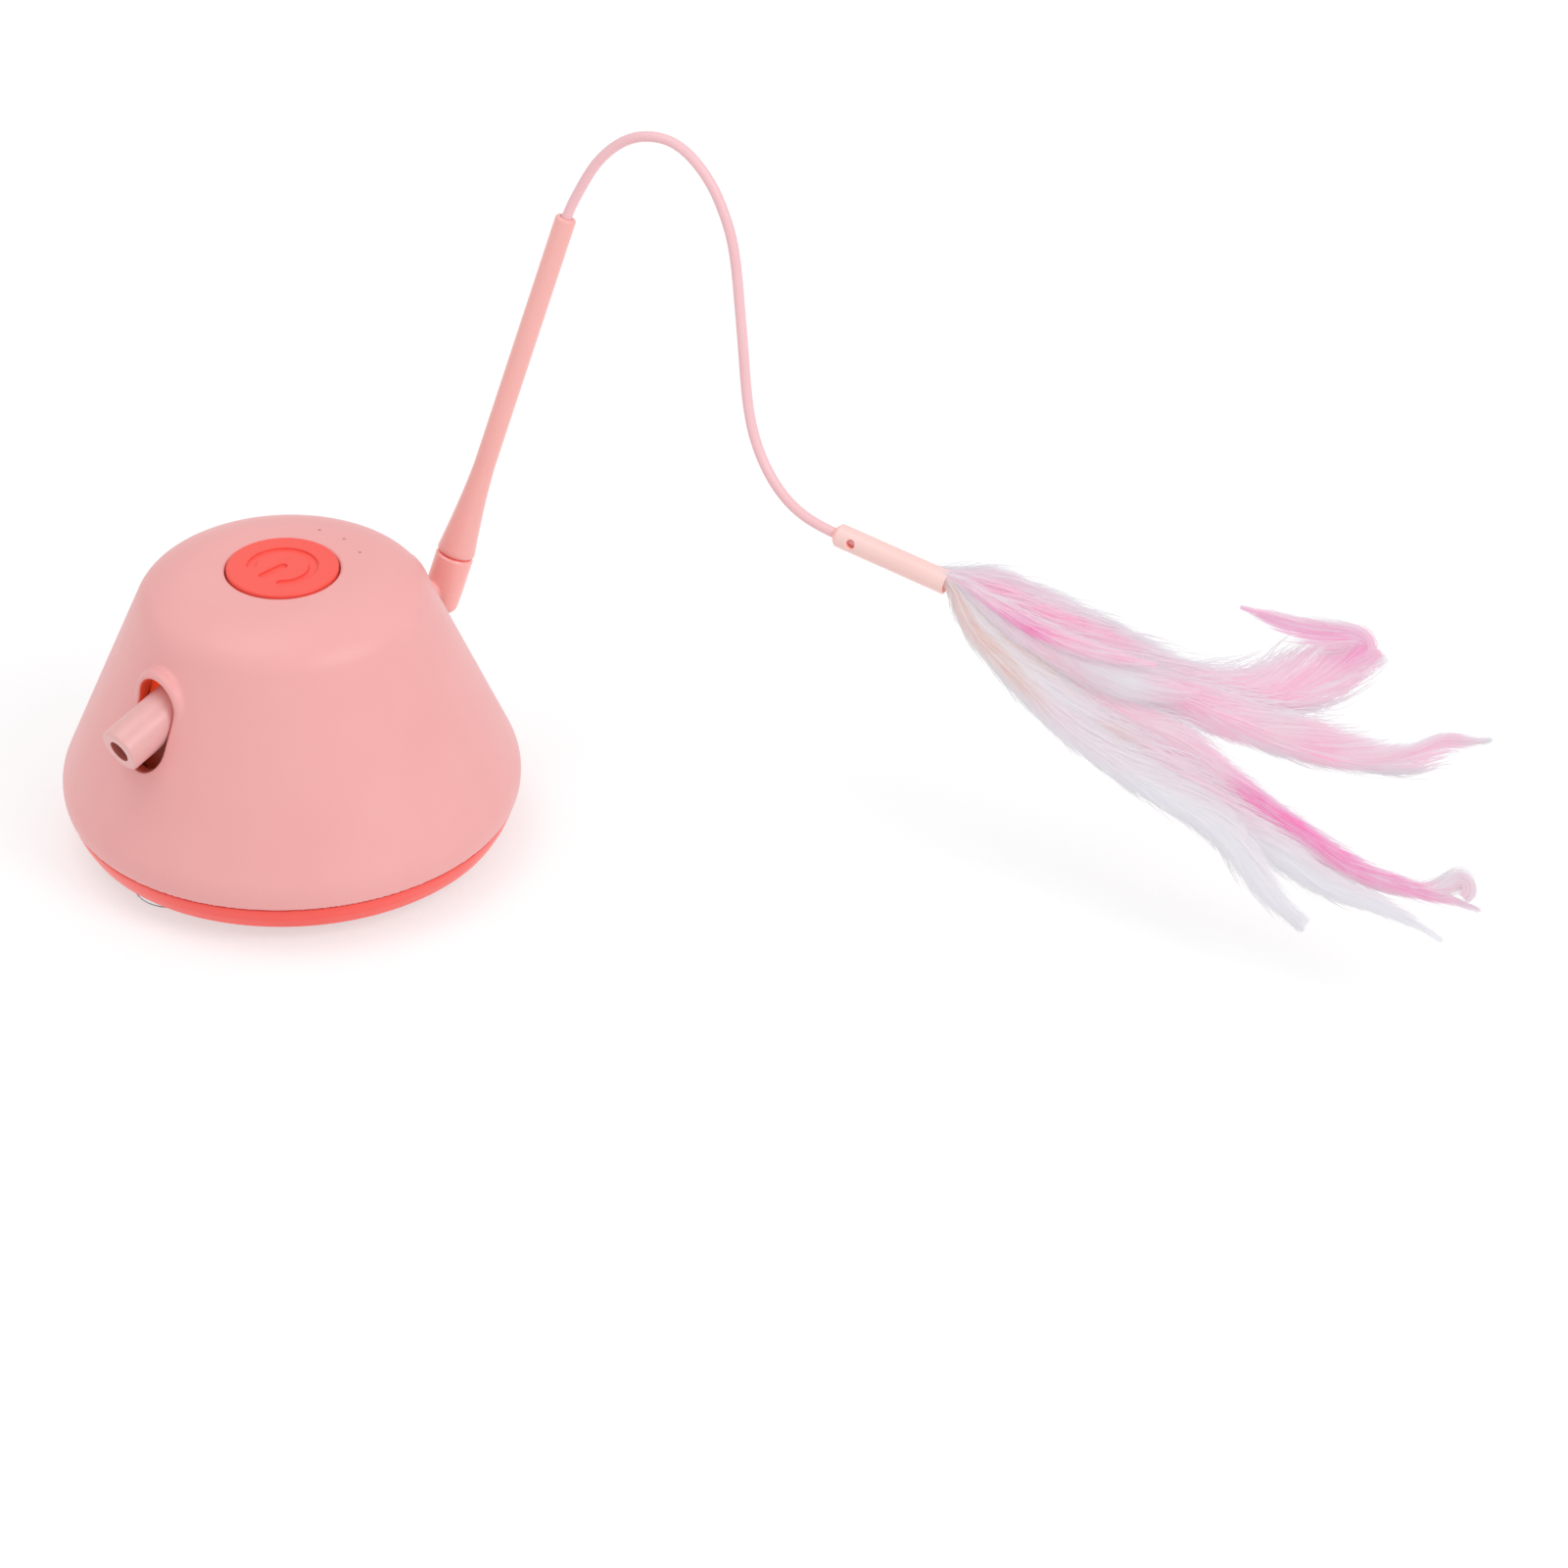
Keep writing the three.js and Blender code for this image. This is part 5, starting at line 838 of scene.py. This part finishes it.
# A plume is its slot, the nodes it stands for, its tints and its rows.
# Each stop of the tints gives the tint above, on and below the quill.
# Rows are (along, across, up) in the sleeve's frame, and the half-width above and below the quill.
PLUMES = {
    "plume_wisp": ("feather_pale", [], [
        (0, "rpp"), (0.1, "grp"), (0.5, "lrp"), (0.8, "glr"), (1, "lll")], [
        (20, 1, 0, 0.4, 0.4), (30.6, 1.6, 1.6, 2.2, 0.8), (36.8, 1.8, 3.7, 3.8, 2.2), (44.1, 2.2, 4.8, 4.2, 3),
        (52, 2.7, 4.2, 4.2, 3.2), (60.6, 3.5, 3.6, 4, 3.4), (71, 4.6, 3.4, 3.6, 3.2), (82.3, 6, 2.8, 2.6, 2.4),
        (93.5, 7.5, 2.5, 0.3, 0.3)]),
    "plume_crest": ("feather_pink", ["feather_top"], [
        (0, "ppp"), (0.2, "ppl"), (0.32, "ppd"), (0.42, "ppp"), (0.52, "lll"), (0.6, "lpp"), (0.7, "rpr"),
        (0.88, "rpr"), (0.95, "rdr"), (1, "rhr")], [
        (20, 0.7, 0, 0.4, 0.4), (30.9, 1.2, 1.4, 1.2, 0.5), (38.6, 1.3, 1.7, 3.4, 1.6), (47.7, 1.5, 0.9, 5, 2.5),
        (58.5, 1.9, 0.2, 5.4, 3.6), (70, 2.3, 0.3, 5.6, 4.6), (80.7, 2.8, 0, 6, 5.2), (92.2, 3.4, -0.3, 6.4, 5.4),
        (102.2, 4, 0.9, 7.2, 4.6), (111.4, 4.6, 4.3, 8.6, 4.4), (117.3, 5, 8.9, 10, 5.2),
        (122, 5.5, 14.4, 10.4, 6.8), (125.4, 6, 20.3, 8.8, 8.2), (127.3, 6.3, 24.7, 6, 8.2),
        (128.4, 6.5, 27.5, 3, 6.2)]),
    "plume_fold": ("feather_pink", [], [
        (0, "rpr"), (0.2, "rdp"), (0.35, "pdl"), (0.75, "ddr"), (1, "rdr")], [
        (128.2, 6.7, 19, 3, 1.4), (129.8, 6.6, 23, 4.5, 1.8), (129.6, 6.3, 26.2, 5.5, 2.2),
        (127, 5.8, 27.6, 6.5, 2.6), (123, 5.1, 27, 7, 2.6), (117.6, 4.3, 25.8, 6.5, 2.2),
        (110.7, 3.3, 24.8, 5, 1.5), (104.7, 1.9, 24.5, 2.8, 1), (99.2, 0.5, 24.2, 0.1, 0.1)]),
    "plume_middle": ("feather_pink", ["feather_middle"], [
        (0, "rrr"), (0.15, "lrl"), (0.24, "ppl"), (0.33, "rll"), (0.42, "lll"), (0.5, "rpl"), (0.57, "rpr"),
        (0.65, "lrl"), (0.72, "rpr"), (0.83, "lrl"), (0.88, "wpr"), (0.94, "ppr"), (1, "ggg")], [
        (20, 0.4, 0, 0.4, 0.4), (31.2, 0.6, 1.3, 0.5, 0.5), (44.9, 0.7, -1.7, 2, 1.8), (57, 0.8, -2.6, 3.1, 2.7),
        (69.8, 1, -3.3, 4.4, 3.6), (82.5, 1.2, -3.6, 5.4, 4.5), (94, 1.5, -3.4, 6.3, 5.4),
        (105.5, 1.7, -3.4, 7.4, 5.6), (115, 2, -3.5, 8.3, 4), (124.2, 2.2, -2.6, 9.1, 3.3),
        (133.1, 2.4, -0.9, 8, 3.1), (141.5, 2.7, 2.1, 6.3, 2.7), (147.6, 2.9, 6.3, 3.3, 4.2),
        (151, 3, 10, 1.5, 6.3), (154.9, 3.2, 13.6, 1.3, 4.7), (159.4, 3.3, 15.4, 1.1, 2.4),
        (165.2, 3.5, 17.9, 0.1, 0.1)]),
    "plume_lower": ("feather_hot_pink", ["feather_lower"], [
        (0, "lll"), (0.15, "lll"), (0.25, "rtt"), (0.35, "rrr"), (0.47, "rrr"), (0.56, "prl"), (0.62, "dhl"),
        (0.7, "hhl"), (0.87, "hhr"), (0.93, "rdp"), (1, "lll")], [
        (20, -0.1, 0, 0.4, 0.4), (31.3, -0.2, 1.2, 0.5, 0.5), (43.9, -0.3, -3.2, 1.5, 1.5),
        (56.8, -0.4, -6.7, 2.5, 2.7), (69.6, -0.6, -9.5, 3.8, 3.8), (82.2, -0.8, -11.9, 4.7, 5.1),
        (92.1, -1, -12.3, 5.3, 6.9), (100.2, -1.1, -13.2, 5.3, 8.3), (107.7, -1.3, -15.2, 4.5, 8.3),
        (116.2, -1.4, -17.2, 3.6, 7.3), (125.7, -1.7, -19.6, 3.3, 5.6), (135, -1.9, -21.3, 3, 4.5),
        (145.1, -2.1, -22.7, 2.7, 3.6), (155.6, -2.4, -22.3, 2.4, 3.1), (165.5, -2.7, -20.5, 2, 2.4),
        (177.5, -3, -19.3, 0.1, 0.1)]),
    "plume_curl": ("feather_hot_pink", [], [
        (0, "ddd"), (0.25, "rrp"), (0.5, "glr"), (1, "lrr")], [
        (159.9, -2.6, -21.3, 0.8, 0.8), (163.9, -2.7, -19.5, 1.6, 1.6), (167.2, -3, -17, 2.4, 2.4),
        (169.2, -3.2, -14.7, 2.8, 3), (171.1, -3.4, -13.5, 2.8, 3.4), (172.8, -3.6, -14, 2.6, 3.4),
        (173.6, -3.8, -15.9, 2, 2.8), (172.9, -4, -17.9, 1, 1.4)]),
    "plume_pale": ("feather_pale", [], [
        (0, "rrr"), (0.3, "rll"), (0.45, "prr"), (0.62, "plr"), (0.78, "lwl"), (1, "ppp")], [
        (20, -0.7, 0, 0.4, 0.4), (31.5, -1.2, 1.4, 0.5, 0.5), (46.1, -1.3, -2.5, 1.6, 2),
        (59.3, -1.5, -3.7, 3.3, 4), (71.1, -1.8, -3.6, 4.5, 5.8), (81.6, -2, -2.7, 4.5, 6),
        (90.7, -2.2, -0.8, 3.1, 3.6), (97.7, -2.4, 1.7, 0.2, 0.2)]),
    "plume_blush": ("feather_hot_pink", [], [
        (0, "rrr"), (0.2, "rrl"), (0.35, "rph"), (0.5, "phh"), (0.65, "ppl"), (1, "ppp")], [
        (20, -0.8, 0, 0.4, 0.4), (31.7, -1.4, 2.3, 0.5, 0.5), (38.9, -1.5, 1.4, 1.6, 1.3),
        (47.4, -1.7, -0.1, 2.7, 1.8), (55.6, -1.9, -1.1, 3.3, 2), (64.5, -2.2, -0.9, 3.3, 2),
        (74.8, -2.5, 0.8, 2.5, 1.6), (85.7, -3, 3.7, 0.2, 0.2)]),
    "plume_white": ("feather_pale", ["feather_white"], [
        (0, "rrr"), (0.1, "twl"), (0.2, "tww"), (0.35, "lwg"), (0.42, "ltw"), (0.5, "rlw"), (0.6, "rlw"),
        (0.72, "lww"), (1, "www")], [
        (20, -0.5, 0, 0.4, 0.4), (31.4, -0.9, 0.8, 0.5, 0.5), (39.6, -1, -4.4, 2.7, 2.9),
        (50.2, -1.2, -9.5, 4.4, 4.7), (61.7, -1.5, -14.1, 5.6, 5.4), (72.8, -1.8, -17.8, 6.5, 5.8),
        (83.5, -2.2, -20, 7.3, 6), (96.1, -2.7, -22.2, 8, 5.8), (108.5, -3.2, -24.1, 7.6, 5.4),
        (119.9, -3.6, -25.6, 6.2, 5.1), (131, -4.2, -26.6, 4.9, 4.4), (141.9, -4.7, -28.5, 3.6, 3.6),
        (154.4, -5.4, -27.6, 2.4, 2.2), (163.9, -5.9, -27.6, 1.6, 1.5), (172.2, -6.4, -28.8, 0.1, 0.1)]),
    "plume_down": ("feather_pale", ["feather_down"], [
        (0, "rrr"), (0.1, "ttt"), (0.2, "ttw"), (0.3, "wtw"), (0.4, "llw"), (0.62, "lww"), (1, "www")], [
        (20, -0.9, 0, 0.4, 0.4), (31.3, -1.5, 0.6, 0.5, 0.6), (36.1, -1.6, -4.3, 2.2, 2.2),
        (42.5, -1.9, -9.1, 3.3, 3), (50.7, -2.3, -12.5, 4.2, 3.2), (60.1, -2.9, -16.3, 4.7, 3.4),
        (70.4, -3.7, -20, 5.3, 3.4), (80.3, -4.5, -22.2, 5.8, 3.2), (91.9, -5.4, -23.7, 6.2, 3.2),
        (104.3, -6.6, -24.6, 6.2, 3.6), (114.9, -7.7, -26.3, 5.8, 4), (123.4, -8.7, -30.4, 5, 4),
        (130.5, -9.6, -34.3, 4, 3.4), (141.8, -11, -37.7, 1.6, 1.4)]),
}
GUIDE_STEPS = 240
LAST_ROOT = 0.97
BARB_STEPS = np.linspace(0, 1, 9)
BARB_TAPER = np.array([0.5, 0.9, 1.0, 1.0, 0.95, 0.85, 0.7, 0.45, 0.06])
# Each kind's half-width, barbs to the millimetre on each side, and wildness
BARB_KINDS = ((0.14, 8.0, 0.0), (0.06, 2.0, 1.0))
CLUMPS, STREAKS = 34, 110
QUILL_SIDES, QUILL_RADII, QUILL_LENGTH, QUILL_STEP = 6, (0.36, 0.08), 0.8666, 3


def tint_along(share, stops, tints):
    return np.stack([np.interp(share, stops, tints[:, c]) for c in range(3)], -1)


def drift(chance, share, count, low, high):
    """A random level at each share of the length that drifts over that many places."""
    return np.interp(share, np.linspace(0, 1, count), chance.uniform(low, high, count))


def barbs(chance, guides, length, width_at, tints_at, way, half, crowd, wild):
    """The points, normals and tints of one kind of barb, as ribbons on one side of the quill."""
    n = int(length * crowd)
    roots = np.linspace(0, LAST_ROOT, 200)
    fill = np.cumsum(width_at(roots) + 2)
    start = np.interp((np.arange(n) + chance.uniform(0, 1, n)) / n, fill / fill[-1], roots)
    reach = (2.3 * width_at(start) + 9) * chance.uniform(0.75, 1.2, n)
    end = np.minimum(start + reach / length, 1 - chance.uniform(0, 0.05, n) * (1 - start))
    stretch = np.where(chance.random(n) < 0.6, 0.72 + chance.exponential(0.12, n), chance.uniform(0.05, 0.8, n))
    stretch *= drift(chance, start, CLUMPS, 0.88, 1.06)
    wide = width_at(end) * np.minimum(stretch + wild * chance.uniform(0, 0.4, n), 1.4)
    # The barb's path, from the quill outwards and towards the tip
    share = start[:, None] + (end - start)[:, None] * BARB_STEPS
    index = share * (GUIDE_STEPS - 1)
    low = np.minimum(index.astype(int), GUIDE_STEPS - 2)
    part = (index - low)[..., None]
    centre, rise, out = guides[:, low] * (1 - part) + guides[:, low + 1] * part
    offset = wide[:, None] * np.sin(BARB_STEPS * math.pi / 2) ** 0.9
    wave = np.sin(BARB_STEPS * chance.uniform(2, 7, (n, 1)) + chance.uniform(0, 6, (n, 1)))
    wave *= BARB_STEPS * (0.12 + 0.5 * wild)
    lift = 0.02 * offset ** 2 + (chance.normal(0, 0.3, (n, 1)) + wave) * BARB_STEPS
    paths = centre + rise * (way * offset + wave)[..., None] + out * lift[..., None]
    side = unit(np.cross(np.gradient(paths, axis=1), out))
    side *= (half * chance.uniform(0.6, 1.4, (n, 1)) * BARB_TAPER)[..., None]
    across = np.clip(offset / np.maximum(width_at(share), 0.4), 0, 1)[..., None]
    facing = out - rise * way * 0.35 * across + rise * chance.normal(0, 0.08, (n, 1, 1))
    # The tint runs from the quill's to the edge's, streaked, and greyer at the rim, which is painted shade
    middle, edge = tints_at(share)
    shade = middle * (1 - across) + edge * across
    away = drift(chance, start, STREAKS, -0.4, 0.45) + chance.normal(0, 0.25, n)
    shade = shade + (shade - WHITE) * away[:, None, None]
    painted_rim_shade = np.clip((across - 0.7) * 2, 0, 0.55) + 0.3 * wild
    shade = np.clip(shade * (1 - painted_rim_shade) + GREY * painted_rim_shade, 0, 1)
    pairs = [np.stack([paths - side, paths + side], 2)] + [np.stack([rows, rows], 2) for rows in (facing, shade)]
    return [rows.reshape(-1, 3) for rows in pairs]


def plume_mesh(name, tints, rows, seed):
    """A quill and its barbs as fine ribbons, with a tint and a soft normal at every point."""
    chance = np.random.default_rng(seed)
    rows = np.array(rows)
    line = flowing(rows[:, :3], GUIDE_STEPS)
    ahead = unit(np.gradient(line, axis=0))
    up = unit(np.stack([-ahead[:, 2], np.zeros(GUIDE_STEPS), ahead[:, 0]], -1))
    guides = np.stack([line, up, np.cross(up, ahead)])
    knots = lengths_along(rows[:, :3])
    length = knots[-1]
    stops = [share for share, _ in tints]
    tints = np.array([[TINTS[letter][:3] for letter in letters] for _, letters in tints])
    kinds = []
    for way, widths, edge in ((1, rows[:, 3], 0), (-1, rows[:, 4], 2)):
        def width_at(share):
            return np.interp(share, knots / length, widths)

        def tints_at(share):
            return [tint_along(share, stops, tints[:, column]) for column in (1, edge)]

        kinds += [barbs(chance, guides, length, width_at, tints_at, way, *kind) for kind in BARB_KINDS]
    points, normals, colours = (np.concatenate(found) for found in zip(*kinds))
    steps = len(BARB_STEPS)
    first = (np.arange(len(points) // (2 * steps))[:, None] * steps + np.arange(steps - 1)).ravel() * 2
    faces = np.stack([first, first + 1, first + 3, first + 2], -1).tolist()
    stem = line[:round(QUILL_LENGTH * GUIDE_STEPS):QUILL_STEP]
    quill_points, quill_faces = swept(stem, np.linspace(*QUILL_RADII, len(stem)), QUILL_SIDES)
    faces += [[i + len(points) for i in face] for face in quill_faces]
    quill_share = np.repeat(np.linspace(0, 0.86, len(stem)), QUILL_SIDES)
    stalk = tint_along(quill_share, stops, tints[:, 1]) * 0.6 + WHITE * 0.4
    mesh = new_mesh(name, np.concatenate([points, quill_points]), faces)
    mesh.normals_split_custom_set_from_vertices(np.concatenate([normals, np.zeros_like(stalk)]).tolist())
    colours = np.concatenate([colours, stalk])
    tint = mesh.color_attributes.new("plume", "FLOAT_COLOR", "POINT")
    tint.data.foreach_set("color", np.concatenate([colours, np.ones((len(colours), 1))], 1).ravel())
    return mesh


barb_silk, tree = new_material("barb_silk")
tint = node(tree, "ShaderNodeVertexColor", layer_name="plume")
where = object_place(tree)
paler = spread(tree, noise(tree, where, 160, 4), 0.0, 0.2, 0.4, 0.75)
tone = mixed(tree, paler, tint, TINTS["w"])
# The barbs glow faintly in their own tone, a painted glow that stands in for light scattered through them
surface = node(tree, "ShaderNodeBsdfPrincipled", {
    "Base Color": tone, "Roughness": spread(tree, noise(tree, where, 1800, 2), 0.55, 0.75), "Sheen Weight": 0.15,
    "Specular IOR Level": 0.2, "Emission Color": tone, "Emission Strength": 0.18})
through = node(tree, "ShaderNodeBsdfTranslucent", {"Color": tone})
blend = node(tree, "ShaderNodeMixShader", {0: 0.45, 1: surface, 2: through})
node(tree, "ShaderNodeOutputMaterial", {"Surface": blend})

for seed, (name, (slot, replaced, tints, rows)) in enumerate(PLUMES.items(), 100):
    dressed(name, plume_mesh(name, tints, rows, seed), barb_silk, "wand", replaced, LURE_PLACE)
